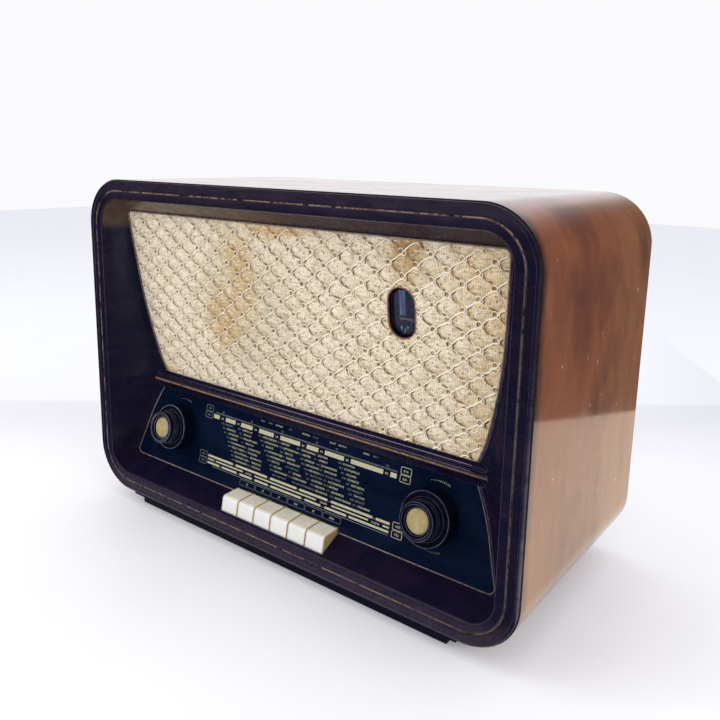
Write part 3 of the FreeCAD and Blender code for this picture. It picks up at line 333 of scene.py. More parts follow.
def woven_cloth():
    """Cream cloth with upright ribs and tan water stains, with painted shade beside the net's cells, over the
    loudspeaker hole and on the right.
    """
    p = Paint("grille_cloth", roughness=0.9, sheen_weight=0.15, sheen_roughness=0.5)
    ribs = p.waves(150, p.coords(), 6.0, 4)
    weft = p.waves(330, p.coords(), 2.0, 2, "Z")
    fuzz = p.noise(420, 5, 0.75)
    thread = p.sum(p.times(ribs, 0.24), p.sum(p.times(weft, 0.22), p.times(fuzz, 0.90)))
    slubs = p.noise(1.0, 4, 0.65, p.coords((420, 60, 130)))
    mottle = p.noise(120, 4, 0.7)
    dashes = p.noise(1.0, 4, 0.65, p.coords((150, 60, 520)))
    colour = p.layers(
        p.ramp(thread, (0.38, (0.46, 0.335, 0.18)), (0.60, (0.80, 0.665, 0.465)), (0.84, (0.97, 0.88, 0.71))),
        (p.band(slubs, 0.55, 0.72, 0.0, 0.55), (0.46, 0.355, 0.205)),
        (p.band(mottle, 0.52, 0.70, 0.0, 0.60), (0.50, 0.375, 0.20)),
        (p.band(mottle, 0.28, 0.45, 0.50, 0.0), (0.97, 0.91, 0.79)),
        (net_cell_shade(p), (0.40, 0.275, 0.135)),
        (p.band(dashes, 0.53, 0.67, 0.0, 0.72), (0.45, 0.33, 0.17)),
        (p.band(dashes, 0.32, 0.45, 0.75, 0.0), (1.0, 0.94, 0.81)))
    ripple = p.noise(20, 5, 0.65)
    for centre, reach, amount, tint in STAINS_AND_SHADE:
        spread = p.sum(p.away(centre, reach), p.times(ripple, 1.45))
        colour = p.mix(p.band(spread, 0.85, 1.60, amount, 0.0), colour, tint, "MULTIPLY")
    # Painted shade over the loudspeaker hole, where no board lies behind the cloth.
    hole = p.band(p.away(SPEAKER_HOLE, (1, 0, 1)), 0.050, 0.092, 0.35, 0.0)
    p.set(base_color=p.mix(p.times(hole, p.band(slubs, 0.35, 0.65, 0.5, 1.0)), colour, (0.38, 0.33, 0.19)))
    return p.bump(thread, 0.9, 0.0006)


def net_thread(name, low, high):
    """Looped yarn of the net pattern."""
    p = Paint(name, roughness=0.9, specular_ior_level=0.1)
    twist = p.waves(700, p.coords(turn=(0, 0.8, 0)), 2.0)
    p.set(base_color=p.mix(p.band(p.noise(60, 4), 0.3, 0.7), low, high))
    return p.bump(p.sum(twist, p.noise(1500, 2)), 0.3, 0.0002)


def ivory():
    """Glossy ivory moulding, yellowed unevenly, specked, and brown with painted shade on the keys' sides
    where they meet.
    """
    p = Paint("key_ivory", coat_weight=0.6, coat_roughness=0.06, subsurface_weight=0.15,
              subsurface_scale=0.004, subsurface_radius=(1.0, 0.7, 0.4))
    facing = p.axis("Y", p.node("NewGeometry", out="Normal"))
    sideways = p.axis("X", p.node("Bevel", {"Radius": 0.0032}, samples=8))
    grime = p.band(p.noise(420, 4, 0.7), 0.66, 0.74)
    # Painted shade: brown on the keys' rounded sides, next to the narrow gaps between them.
    side_shade = p.band(p.math("ABSOLUTE", sideways), 0.10, 0.52)
    colour = p.layers(
        p.mix(p.band(p.noise(55, 4, 0.6), 0.3, 0.7), (0.82, 0.785, 0.69), (0.745, 0.69, 0.56)),
        (p.band(facing, -0.9, -0.35, 0.75, 0.0), (0.86, 0.855, 0.86)),
        (p.times(grime, 0.5), (0.42, 0.33, 0.2)),
        (p.times(side_shade, 0.95), (0.54, 0.385, 0.175)))
    p.set(base_color=colour, roughness=p.band(p.noise(130, 4), 0.3, 0.7, 0.16, 0.3))
    return p.bump(p.sum(p.noise(90, 3), p.times(p.noise(900, 2), 0.15)), 0.12, 0.0004, 0.0024)


def cap_disc():
    """Aged cream-gold cap: a brushed, pitted disc."""
    p = Paint("cap_cream", metallic=0.25, coat_weight=0.25, coat_roughness=0.2)
    pits = p.band(p.noise(700, 3, 0.6), 0.64, 0.72)
    colour = p.mix(p.band(p.noise(150, 5, 0.7), 0.3, 0.7), (0.63, 0.505, 0.245), (0.45, 0.345, 0.14))
    colour = p.mix(p.times(pits, 0.8), colour, (0.20, 0.13, 0.06))
    p.set(base_color=colour, roughness=p.band(p.noise(300, 3), 0.3, 0.7, 0.36, 0.55))
    return p.bump(p.sum(p.noise(260, 4), p.times(pits, -1.0)), 0.45, 0.0004, 0.0004)


def dial_black():
    """Glass painted navy black behind, with faint smears and dust on its face."""
    p = Paint("dial_black", coat_weight=0.1, coat_roughness=0.02, coat_ior=1.5, specular_ior_level=0.16)
    smear = p.noise(16, 4, 0.6, p.coords((1, 1, 2.2)), 0.8)
    specks = p.times(p.band(p.noise(950, 2), 0.70, 0.76), 0.35)
    colour = p.mix(p.band(smear, 0.3, 0.75), (0.0020, 0.0047, 0.0168), (0.0042, 0.0090, 0.0275))
    p.set(base_color=p.mix(specks, colour, (0.10, 0.11, 0.13)), roughness=p.band(smear, 0.3, 0.7, 0.06, 0.2))
    return p.bump(p.noise(30, 2), 0.05, 0.0003)


def smoked_glass(name, tint, through=0.95):
    """Thin tinted glass with a little dirt on it."""
    p = Paint(name, transmission_weight=through, ior=1.45)
    dirt = p.band(p.noise(160, 4, 0.6), 0.5, 0.8)
    p.set(base_color=p.mix(p.times(dirt, 0.3), tint, (0.25, 0.22, 0.18)),
          roughness=p.sum(p.times(dirt, 0.12), 0.02))
    return p.bump(p.noise(90, 2), 0.04, 0.0003)


def shaded_sleeve():
    """Copper lip of the eye's slot, with painted shade, dark navy, deeper in its bore."""
    p = Paint("eye_sleeve", metallic=0.2, specular_ior_level=0.3)
    c, s = cos(radians(GRILLE_LEAN)), sin(radians(GRILLE_LEAN))
    inward = p.vector("DOT_PRODUCT", p.node("TexCoord", out="Object"), (0, c, s), out="Value")
    face = ((WAIST_Y - MIDDLE_Y) * c + (WAIST_Z + FOOT) * s) / 1000
    depth = p.sum(inward, p.times(p.noise(150, 3), 0.0008), -face)
    copper = p.mix(p.band(p.noise(200, 4, 0.7), 0.35, 0.7), (0.42, 0.20, 0.12), (0.20, 0.095, 0.060))
    # Painted shade: dark navy deeper into the slot than the copper lip.
    p.set(base_color=p.mix(p.band(depth, SLEEVE_LIP, SLEEVE_LIP + 0.0008), copper, (0.006, 0.008, 0.026)),
          roughness=p.band(p.noise(90, 3), 0.3, 0.7, 0.35, 0.5))
    return p.bump(p.noise(400, 3), 0.3, 0.0002)


MATERIALS = {
    "walnut_veneer": walnut(),
    "bakelite": bakelite("bakelite", (0.0045, 0.0048, 0.0180), (0.0120, 0.0068, 0.0200)),
    "knob_brown": bakelite("knob_brown", (0.0012, 0.0032, 0.0105), (0.0026, 0.0048, 0.0140),
                           rough=0.26, rounded=0.0009, shine=0.12),
    "gold_line": worn_line("gold_line", (0.40, 0.27, 0.19), (0.17, 0.11, 0.085), (0.020, 0.012, 0.018),
                           0.3, 0.48, 0.0008),
    "copper_trim": worn_line("copper_trim", (0.60, 0.48, 0.44), (0.30, 0.225, 0.21), (0.06, 0.035, 0.04),
                             0.35, 0.66, 0.0008),
    "grille_cloth": woven_cloth(),
    "dial_black": dial_black(),
    "cap_cream": cap_disc(),
    "key_ivory": ivory(),
    "valve_glass": smoked_glass("valve_glass", (0.82, 0.86, 0.88)),
    "eye_glass": smoked_glass("eye_glass", (0.50, 0.56, 0.66)),
}
# The plainer parts: two tones, the mottling's scale, the roughness and what else differs.
for name, dark, light, scale, rough, more in (
        ("plywood", (0.42, 0.29, 0.17), (0.58, 0.43, 0.27), 30, 0.6, {"grain": (1, 6, 8)}),
        ("plate_paint", (0.60, 0.585, 0.53), (0.72, 0.71, 0.66), 40, 0.35, {}),
        ("pointer_paint", (0.62, 0.075, 0.045), (0.78, 0.13, 0.08), 120, 0.3, {}),
        ("steel", (0.40, 0.40, 0.39), (0.60, 0.60, 0.58), 120, 0.3, {"metallic": 0.95, "grain": (1, 4, 4)}),
        ("chassis_zinc", (0.45, 0.46, 0.44), (0.66, 0.66, 0.62), 70, 0.36, {"metallic": 0.9}),
        ("socket_black", (0.030, 0.026, 0.023), (0.060, 0.050, 0.042), 150, 0.42, {}),
        ("transformer_iron", (0.10, 0.085, 0.075), (0.23, 0.205, 0.185), 130, 0.5,
         {"metallic": 0.5, "grain": (1, 1, 9), "bump": 0.5}),
        ("can_aluminium", (0.60, 0.60, 0.60), (0.80, 0.80, 0.79), 90, 0.28,
         {"metallic": 0.95, "grain": (1, 1, 0.2)}),
        ("cone_paper", (0.055, 0.052, 0.05), (0.12, 0.115, 0.11), 160, 0.8, {"bump": 0.6}),
        ("ferrite", (0.085, 0.08, 0.078), (0.17, 0.155, 0.15), 200, 0.6, {"bump": 0.5}),
        ("hardboard", (0.20, 0.125, 0.068), (0.33, 0.22, 0.125), 220, 0.62, {"bump": 0.5, "dust": 0.4}),
        ("plinth_black", (0.0025, 0.0035, 0.011), (0.006, 0.0065, 0.018), 60, 0.5,
         {"grain": (0.3, 2, 3), "specular_ior_level": 0.05}),
        ("felt", (0.15, 0.145, 0.13), (0.28, 0.27, 0.24), 500, 0.92, {"bump": 0.9}),
        ("screw_brass", (0.45, 0.34, 0.15), (0.66, 0.52, 0.28), 200, 0.34, {"metallic": 0.95}),
        ("rubber", (0.018, 0.018, 0.018), (0.045, 0.044, 0.042), 140, 0.6, {"bump": 0.4}),
        ("strip_paxolin", (0.20, 0.105, 0.045), (0.33, 0.19, 0.09), 120, 0.4, {"grain": (1, 1, 4)})):
    MATERIALS[name] = plain(name, dark, light, scale, rough, **more)


def cover(node, material):
    for place in CAD_NODES[node].material_slots:
        place.material = material


for part in frame["record"]["subparts"]:
    cover(part["node"], MATERIALS[part["material_slot"]])
cover("eye_sleeve_trim", shaded_sleeve())
cover("waist_inlay", worn_line("waist_line", (0.62, 0.39, 0.235), (0.36, 0.215, 0.13), (0.018, 0.011, 0.018),
                               0.3, 0.60, 0.0021))


# ---- mesh helpers
class Sculpt:
    """Collects points and faces of one piece."""

    def __init__(self):
        self.points, self.faces = [], []

    def add(self, points, faces):
        first = len(self.points)
        self.points.extend(points)
        self.faces.extend([[first + i for i in face] for face in faces])

    def tube(self, path, radius, sides=6, flat=1.0, closed=False):
        """A round strand along a path, flattened from front to back by `flat`."""
        front, count = Vector((0, -1, 0)), len(path)
        if count < 2:
            return
        points, faces = [], []
        for i, centre in enumerate(path):
            ahead = path[(i + 1) % count] if closed else path[min(i + 1, count - 1)]
            behind = path[i - 1] if closed or i else path[0]
            along = (ahead - behind).normalized()
            side = along.cross(front).normalized()
            top = side.cross(along)
            for k in range(sides):
                a = 2 * pi * k / sides
                points.append(centre + side * radius * cos(a) + top * radius * flat * sin(a))
        for i in range(count if closed else count - 1):
            j = (i + 1) % count
            for k in range(sides):
                m = (k + 1) % sides
                faces.append([i * sides + k, i * sides + m, j * sides + m, j * sides + k])
        if not closed:
            faces.append(list(range(sides - 1, -1, -1)))
            faces.append([(count - 1) * sides + k for k in range(sides)])
        self.add(points, faces)

    def build(self, name, material, body, slot, smooth=True):
        mesh = bpy.data.meshes.new(name)
        mesh.from_pydata([tuple(p) for p in self.points], [], self.faces)
        shape = bmesh.new()
        shape.from_mesh(mesh)
        bmesh.ops.recalc_face_normals(shape, faces=shape.faces)
        shape.to_mesh(mesh)
        shape.free()
        mesh.polygons.foreach_set("use_smooth", [smooth] * len(mesh.polygons))
        mesh.materials.append(material)
        piece = bpy.data.objects.new(name, mesh)
        scene.collection.objects.link(piece)
        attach(piece, body)
        return piece


# ---- grille cloth and its net
# On the grille plane: the eye's slot, the cloth's edges, and the waisted mouth as (height, half width).
EYE_X, EYE_Z, EYE_WIDTH, EYE_HEIGHT = 136.7, 132.4, 30.5, 48.5
EYE_RISE = (EYE_HEIGHT - EYE_WIDTH) / 2
CLOTH_HALF, CLOTH_FOOT, CLOTH_TOP = 255.5, 3.4, 209.6
CLOTH_STEP, CLOTH_DEPTH = 1.85, 0.45
MOUTH = ((0, 210.0), (8, 211.9), (51, 226.3), (97, 235.3), (147, 240.2), (201.5, 243.6))
MOUTH_FOOT, MOUTH_TOP = 7.2, 200.6
MOUTH_INSET = 1.9


def mouth_half(z):
    return float(np.interp(z, *zip(*MOUTH)))


def in_eye(x, z, grow=0.0):
    """True inside the upright oval slot of the tuning eye."""
    dz = max(abs(z - EYE_Z) - EYE_RISE, 0.0)
    return hypot(x - EYE_X, dz) < EYE_WIDTH / 2 + grow


def in_mouth(x, z):
    return MOUTH_FOOT + 0.4 < z < MOUTH_TOP - MOUTH_INSET and abs(x) < mouth_half(z) - MOUTH_INSET


def eye_rim(x, z):
    """The nearest point on the slot's edge."""
    cz = min(max(z, EYE_Z - EYE_RISE), EYE_Z + EYE_RISE)
    dx, dz = x - EYE_X, z - cz
    size = hypot(dx, dz) or 1.0
    return EYE_X + dx / size * EYE_WIDTH / 2, cz + dz / size * EYE_WIDTH / 2


def pillow(x, z):
    """Relief of the cloth between the net's threads, 0 at their rings to 1 at a cell's middle."""
    u, v = (x - NET_X) / NET_PITCH_X, (z - NET_Z) / NET_PITCH_Z
    diamond = sin(pi * (u + v)) ** 2 * sin(pi * (u - v)) ** 2
    return diamond ** 0.35


def bulge(x, z):
    """How far the cloth stands forward of the board at rest, in millimetres; flat under the moulding."""
    near = min((mouth_half(z) - abs(x)) / 9, (z - MOUTH_FOOT) / 8, (MOUTH_TOP - z) / 8)
    slot = min(max((hypot(x - EYE_X, (z - EYE_Z) * 0.62) - 17.5) / 6, 0.0), 1.0)
    free = min(max(near, 0.0), 1.0) * slot
    slack = 0.35 * sin(x / 31.0 + 0.8) * sin(z / 23.0) + 0.25 * sin(x / 11.0 + z / 17.0)
    return free * (0.30 + 1.25 * pillow(x, z) + 0.3 * slack)


def over_cloth(x, z, lift=0.0):
    """A point on the cloth, or `lift` millimetres in front of it."""
    return on_grille(x, CLOTH_DEPTH - bulge(x, z) - lift, z)


def make_cloth():
    across = int(2 * CLOTH_HALF / CLOTH_STEP)
    tall = int((CLOTH_TOP - CLOTH_FOOT) / CLOTH_STEP)
    xs = np.linspace(-CLOTH_HALF, CLOTH_HALF, across + 1)
    zs = np.linspace(CLOTH_FOOT, CLOTH_TOP, tall + 1)
    index, sheet = {}, Sculpt()
    for j in range(tall):
        for i in range(across):
            if in_eye((xs[i] + xs[i + 1]) / 2, (zs[j] + zs[j + 1]) / 2):
                continue
            face = []
            for key in ((i, j), (i + 1, j), (i + 1, j + 1), (i, j + 1)):
                if key not in index:
                    x, z = float(xs[key[0]]), float(zs[key[1]])
                    if in_eye(x, z, CLOTH_STEP * 0.35):
                        x, z = eye_rim(x, z)
                    index[key] = len(sheet.points)
                    sheet.points.append(over_cloth(x, z))
                face.append(index[key])
            sheet.faces.append(face)
    return sheet.build("cloth_sheet", MATERIALS["grille_cloth"], "cabinet", "grille_cloth")


def clipped(points):
    """Runs of a path that lie inside the mouth and outside the eye slot."""
    for shown, run in groupby(points, lambda p: in_mouth(*p) and not in_eye(*p, 0.9)):
        run = list(run)
        if shown and len(run) > 1:
            yield run


def lattice():
    """The net's rings, row by row, every other row shifted by half a cell."""
    for row in range(-12, 14):
        for column in range(-18, 8):
            x = NET_X + (column + (0.5 if row % 2 else 0.0)) * NET_PITCH_X
            z = NET_Z + row * NET_PITCH_Z / 2
            if abs(x) < CLOTH_HALF + 6.5 and CLOTH_FOOT - 11.4 < z < CLOTH_TOP + 6.4:
                yield x, z


# One step of the net, from a ring to the ring up and to its right: a gentle climb, a level run, a short rise.
NET_CLIMB = ((3.4, 0.4), (4.9, 2.3), (8.8, 4.7), (12.6, 7.3), (15.4, 8.1), (18.3, 7.6))
NET_RISE = ((19.0, 9.4), (18.6, 11.4))
CELL_WIDE, CELL_TALL = 9.0, 6.2
CRESCENT_LIFT, SHADOW_LIFT = 0.34, 0.33


def curve(knots, count):
    """`count` points of a smooth curve through the knots."""
    ends = [knots[0], *knots, knots[-1]]
    made = []
    for k in range(count):
        t = k / (count - 1) * (len(knots) - 1)
        i = min(int(t), len(knots) - 2)
        t -= i
        a, b, c, d = ends[i:i + 4]
        made.append(tuple(0.5 * (2 * b[n] + (c[n] - a[n]) * t
                                 + (2 * a[n] - 5 * b[n] + 4 * c[n] - d[n]) * t * t
                                 + (3 * b[n] - a[n] - 3 * c[n] + d[n]) * t ** 3) for n in (0, 1)))
    return made


class Net:
    """The looped yarn, and dark patches beside it: painted shade and shadow, small holes and pits of the
    weave, and dark loose ends.
    """

    def __init__(self):
        # gaps holds the painted shade and shadow, and the weave's dark holes, pits and loose ends.
        self.yarn, self.gaps = Sculpt(), Sculpt()

    def strand(self, path, lift, size):
        for run in clipped(path):
            self.yarn.tube([over_cloth(x, z, lift) for x, z in run], size / 1000, 6, 0.8)

    def dark_patch(self, corners, lift):
        if all(in_mouth(*p) and not in_eye(*p, 1.0) for p in corners):
            self.gaps.add([over_cloth(*p, lift) for p in corners], [[0, 1, 2, 3]])

    def crescent(self, cx, cz, wide, tall, first, last, thick):
        """A sickle along part of an ellipse, angles in turns of pi."""
        strip = []
        for k in range(13):
            a = pi * (first + (last - first) * k / 12)
            inner = 1 - thick * sin(pi * k / 12) / wide
            strip.append(((cx + wide * cos(a), cz + tall * sin(a)),
                          (cx + wide * inner * cos(a), cz + tall * inner * sin(a))))
        for (a, b), (c, d) in zip(strip, strip[1:]):
            self.dark_patch((a, c, d, b), CRESCENT_LIFT)

    def shadow_strip(self, path, near, far):
        """Painted shadow: a dark strip along the lower right of a path."""
        for k, ((xa, za), (xb, zb)) in enumerate(zip(path, path[1:])):
            fade_a, fade_b = (sin(pi * n / (len(path) - 1)) for n in (k, k + 1))
            shifts = ((xa, za, near), (xb, zb, near), (xb, zb, far * fade_b), (xa, za, far * fade_a))
            self.dark_patch([(x + reach * 0.5, z - reach) for x, z, reach in shifts], SHADOW_LIFT)

    def ring(self, x0, z0):
        """The small loop: pale on its right, with painted shade on its left and a small dark hole in its
        middle.
        """
        loop = 2.3 + between(-0.3, 0.4)
        first = between(-0.75, -0.45)
        angles = [pi * (first + 1.45 * k / 15) for k in range(16)]
        self.strand([(x0 + loop * cos(a), z0 + loop * 1.1 * sin(a)) for a in angles],
                    0.5, between(0.44, 0.60))
        self.crescent(x0 + 0.1, z0, 2.5, 2.8, 0.48, 1.52, between(0.9, 1.7))
        self.crescent(x0 + 0.5, z0, 1.0, 1.0, 0.0, 1.99, between(0.3, 0.9))

    def step(self, x0, z0, worn):
        """The bright step, then its rise beside the next loop."""
        climb = curve([(x0 + x + between(-0.5, 0.5), z0 + z + between(-0.6, 0.6))
                       for x, z in NET_CLIMB], 19)
        rise = curve([climb[-1], *[(x0 + x, z0 + z) for x, z in NET_RISE]], 7)
        ply = [(x + 0.3, z + 0.9 * sin(pi * k / 12)) for k, (x, z) in enumerate(climb[3:16])]
        self.strand(climb, 0.62, between(0.50, 0.68) * worn)
        self.strand(ply, 0.45, between(0.28, 0.40) * worn)
        self.strand(rise, 0.45, between(0.30, 0.42) * worn)
        self.shadow_strip(climb[:9], 0.25, between(1.1, 2.1) * worn)
        self.shadow_strip(climb[8:], 0.25, between(0.5, 1.2))
        self.shadow_strip(rise, 0.2, between(0.9, 1.8))

    def in_cell(self, cx, cz, near, far):
        """A random place within a cell, between two shares of its size."""
        a, reach = between(0.0, 2.0), between(near, far)
        return cx + CELL_WIDE * reach * cos(pi * a), cz + CELL_TALL * reach * sin(pi * a)

    def cell(self, cx, cz, worn):
        """The pillow right of a loop: painted shade down its left side and under its foot, pits and loose
        ends.
        """
        self.crescent(cx, cz, 11.2, 8.4, 0.90 + between(-0.08, 0.06), 1.22 + between(-0.05, 0.12),
                      between(1.0, 2.3) * worn)
        if rng.random() < 0.85:
            self.crescent(cx, cz, 11.0, 8.2, 1.26 + between(-0.05, 0.08),
                          1.48 + between(-0.06, 0.12), between(1.0, 2.5))
        if rng.random() < 0.35:
            self.crescent(cx - 0.6, cz, 9.8, 7.6, 0.08, 0.36, between(0.3, 0.8))
        for _ in range(rng.randint(3, 8)):
            x, z = self.in_cell(cx, cz, 0.2, 0.95)
            self.crescent(x, z, between(0.6, 1.6), between(0.3, 0.8), 0.0, 1.9, between(0.3, 0.8))
        for _ in range(rng.randint(3, 7)):
            x, z = self.in_cell(cx, cz, 0.1, 0.85)
            size = between(1.2, 3.6)
            self.strand([(x + size * (k - 2) / 2, z + 0.5 * sin(pi * k / 4)) for k in range(5)],
                        0.12, between(0.22, 0.34))

    def frayed_end(self, shape):
        """A loose thread at the rim of the eye's slot."""
        a = between(0, 2 * pi)
        x, z = eye_rim(EYE_X + 20 * cos(a), EYE_Z + 26 * sin(a))
        out = Vector((x - EYE_X, z - EYE_Z)).normalized()
        turn = between(-1.1, 1.1)
        length = between(1.6, 5.0)
        dx = (out.x * cos(turn) - out.y * sin(turn)) * length / 5
        dz = (out.x * sin(turn) + out.y * cos(turn)) * length / 5
        shape.tube([on_grille(x + dx * k + 0.3 * sin(k), -0.2 - 0.5 * sin(k * 0.6), z + dz * k)
                    for k in range(6)], 0.22 / 1000, 5)


def make_net():
    net = Net()
    for x0, z0 in lattice():
        # the yarn is worn thin towards the left
        worn = 0.62 + 0.38 * min(max((x0 + 60) / 150, 0.0), 1.0)
        x0 += between(-0.5, 0.5)
        z0 += between(-0.5, 0.5)
        net.ring(x0, z0)
        net.step(x0, z0, worn)
        net.cell(x0 + NET_PITCH_X / 2, z0, worn)
    for n in range(26):
        net.frayed_end(net.gaps if n % 2 else net.yarn)
    # The dark finish on gaps paints shade and shadow on the cloth, and the weave's dark holes and loose ends.
    for shape, name, paint in (
            (net.yarn, "cloth_net", net_thread("net_yarn", (0.93, 0.82, 0.65), (1.0, 0.93, 0.80))),
            (net.gaps, "cloth_shade_and_dark_weave", net_thread("net_shade_and_dark_weave", (0.12, 0.070, 0.026), (0.34, 0.225, 0.10)))):
        yield shape.build(name, paint, "cabinet", "grille_cloth")


cloth = make_cloth()
net_pieces = list(make_net())
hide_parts("grille_cloth")


# ---- dial print
def glyphs():
    """Outline meshes of the digits, one unit tall."""
    made = {}
    for mark in "0123456789":
        outline = bpy.data.curves.new("glyph", "FONT")
        outline.body = mark
        outline.resolution_u = 2
        outline.offset = 0.02
        holder = bpy.data.objects.new("glyph", outline)
        scene.collection.objects.link(holder)
        bpy.context.view_layer.update()
        mesh = bpy.data.meshes.new_from_object(holder)
        points = [(v.co.x, v.co.y) for v in mesh.vertices]
        made[mark] = (points, [list(f.vertices) for f in mesh.polygons])
        bpy.data.objects.remove(holder)
        bpy.data.curves.remove(outline)
        bpy.data.meshes.remove(mesh)
    return made


GLYPHS = glyphs()
PRINT_LIFT = -0.05
STROKE_HALF = 0.24


class Print(Sculpt):
    """Ink laid on the dial; places are x and height in millimetres on the dial's plane."""

    def area(self, outline):
        self.add([on_dial(x, PRINT_LIFT, z) for x, z in outline], [list(range(len(outline)))])

    def bar(self, x0, x1, z0, z1):
        self.area([(x0, z0), (x1, z0), (x1, z1), (x0, z1)])

    def digits(self, text, x, z, size, centred=False, wide=1.0):
        step = 0.62 * size * wide
        if centred:
            x -= step * len(text) / 2
        for n, mark in enumerate(text):
            points, faces = GLYPHS[mark]
            left, broad = x + n * step, size * wide
            self.add([on_dial(left + px * broad, PRINT_LIFT, z + pz * size) for px, pz in points], faces)

    def frame(self, x0, x1, z0, z1, corner, line):
        """A rounded outline box."""
        def loop(radius):
            path = []
            for cx, cz, first in ((x1 - corner, z1 - corner, 0), (x0 + corner, z1 - corner, 90),
                                  (x0 + corner, z0 + corner, 180), (x1 - corner, z0 + corner, 270)):
                for k in range(5):
                    a = radians(first + 22.5 * k)
                    path.append((cx + radius * cos(a), cz + radius * sin(a)))
            return path
        outer, inner = loop(corner), loop(corner - line)
        for k in range(len(outer)):
            m = (k + 1) % len(outer)
            self.area([outer[k], outer[m], inner[m], inner[k]])

    def wedge(self, cx, radius, first, last):
        """A wedge of short strokes that grow along an arc about a knob."""
        count, low, high = 11, 0.6, 2.0
        for k in range(count):
            a = radians(first + (last - first) * k / (count - 1))
            ux, uz = cos(a), sin(a)
            ends = (radius, radius + low + (high - low) * k / (count - 1))
            (ax, az), (bx, bz) = [(cx + ux * reach, KNOB_Z + uz * reach) for reach in ends]
            dx, dz = uz * STROKE_HALF, ux * STROKE_HALF
            self.area([(ax - dx, az + dz), (ax + dx, az - dz), (bx + dx, bz - dz), (bx - dx, bz + dz)])


def number(low, high):
    return "".join(rng.choice("0123456789") for _ in range(rng.randint(low, high)))


# On the dial plane, in millimetres: the print's middle, the keys' pitch and the knobs' axes.
DIAL_X, SCALE_X = 1.5, 2.5
KEY_PITCH = 23.9
KNOB_X, KNOB_Z = 175.3, -52.5
# The upper scale's bars, and each lower scale line as (foot, top, segments).
BARS = ((-125.5, -116.3), (-106, -90.2), (-81.3, -63.4), (-53.4, -31.8), (-22, 6), (15.2, 31), (39.6, 64.3),
        (73, 112), (120.4, 127.6))
SCALE_LINES = (
    (-75.1, -72.7, ((-125.5, -85), (-80.6, -32.4), (-27.5, 10.2), (14.2, 51.8), (56.3, 107.8), (112, 128))),
    (-78.6, -77.0, ((-125.5, -115), (-112, -68.5), (-50.5, 37.5), (57.5, 103.5), (120.5, 128))),
    (-82.9, -80.7, ((-125.5, -105.4), (-101.5, -77.7), (-72.9, -53.8), (-49.5, -29.6), (-25.8, 18),
                    (22.8, 44.1), (49.2, 77.1), (80.5, 128))))
HEADINGS = ((-53, 5), (-42, 5), (-31, 8), (-12, 4), (7, 8), (22, 5), (44, 6), (55, 8), (86, 6), (98, 5))
STATION_COLUMNS = (-104, -79, -47, -20, 8, 31, 64)
STATION_TOP, STATION_PITCH = -34.5, 4.42


def upper_scale(cream, faint):
    """A double hairline, cream bars with numbers in the gaps, and small headings."""
    faint.bar(SCALE_X - 124, SCALE_X + 128, -24.0, -23.5)
    faint.bar(SCALE_X - 124, SCALE_X + 128, -24.9, -24.6)
    for x0, x1 in BARS:
        cream.bar(SCALE_X + x0, SCALE_X + x1, -30.6, -26.2)
    for n, ((_, x0), (x1, _)) in enumerate(zip(BARS, BARS[1:])):
        cream.digits(f"{n + 2}0", SCALE_X + (x0 + x1) / 2, -29.7, 3.0, True)
    for n, x in enumerate((-111, -66, -20, 28, 54, 116)):
        faint.digits(str(87 + 3 * n), SCALE_X + x, -22.4, 2.6, True)
    for x, size in HEADINGS:
        (cream if size > 5 else faint).digits(number(size, size), SCALE_X + x, -17.6, 2.3, wide=0.92)


def stations(cream, faint):
    """Nine slanting rows of station figures."""
    for row in range(9):
        z = STATION_TOP - STATION_PITCH * row
        for n, start in enumerate(STATION_COLUMNS):
            slant = (4.05 if n < 6 else 3.6) * (0.72 if n < 2 else 0.86)
            x = SCALE_X + start + slant * row + between(-1.5, 1.5)
            size = rng.randint(8, 14)
            faint.digits(number(3, 4), x - 6.4, z, 2.5, wide=0.86)
            (cream if rng.random() < 0.85 else faint).digits(number(size, size), x, z, 2.75, wide=0.86)


def lower_scales(cream, faint):
    """Three long scale lines with gaps and figures."""
    for z0, z1, segments in SCALE_LINES:
        for x0, x1 in segments:
            cream.bar(SCALE_X + x0, SCALE_X + x1, z0, z1)
        for (_, x0), (x1, _) in zip(segments, segments[1:]):
            middle = SCALE_X + (x0 + x1) / 2
            if x1 - x0 > 12:
                cream.digits(number(6, 6), middle, -79.0, 2.6, True)
            else:
                faint.digits(number(1, 2), middle, z0, 1.9, True)
    faint.bar(SCALE_X - 117, SCALE_X + 127.8, -85.2, -84.6)


def boxes(cream, faint):
    """Label boxes above the keys, and range boxes at both ends of the scales."""
    for n in range(6):
        x0 = DIAL_X + 1.6 + (n - 3) * KEY_PITCH
        faint.frame(x0 + 0.5, x0 + KEY_PITCH - 0.5, -92.6, -86.4, 1.0, 0.4)
        cream.digits(number(2, 4), x0 + KEY_PITCH / 2, -90.6, 2.6, True)
    for x, paint in ((-133.5, faint), (137.3, cream)):
        for top in (-17.6, -25.2, -70.2, -77.9):
            paint.frame(SCALE_X + x - 6, SCALE_X + x + 6, top - 7.2, top, 1.5, 0.55)
            paint.digits(number(3, 3), SCALE_X + x, top - 4.7, 3.0, True)


def ink(name, low, high):
    p = Paint(name, coat_weight=1.0, coat_roughness=0.03, roughness=0.5)
    p.set(base_color=p.mix(p.band(p.noise(300, 4, 0.7), 0.35, 0.7), low, high))
    return p.bump(p.noise(600, 2), 0.1, 0.0001)


def make_print():
    cream, faint = Print(), Print()
    for section in (upper_scale, stations, lower_scales, boxes):
        section(cream, faint)
    cream.wedge(KNOB_X, 32.0, 104, 70)
    faint.wedge(KNOB_X, 31.5, 256, 290)
    faint.wedge(-KNOB_X, 32.0, 104, 70)
    for shape, tone, low, high in ((cream, "cream", (0.56, 0.54, 0.355), (0.43, 0.41, 0.26)),
                                   (faint, "faint", (0.20, 0.21, 0.20), (0.12, 0.13, 0.13))):
        shape.build("dial_print_" + tone, ink("ink_" + tone, low, high), "cabinet", "dial_black", False)


make_print()


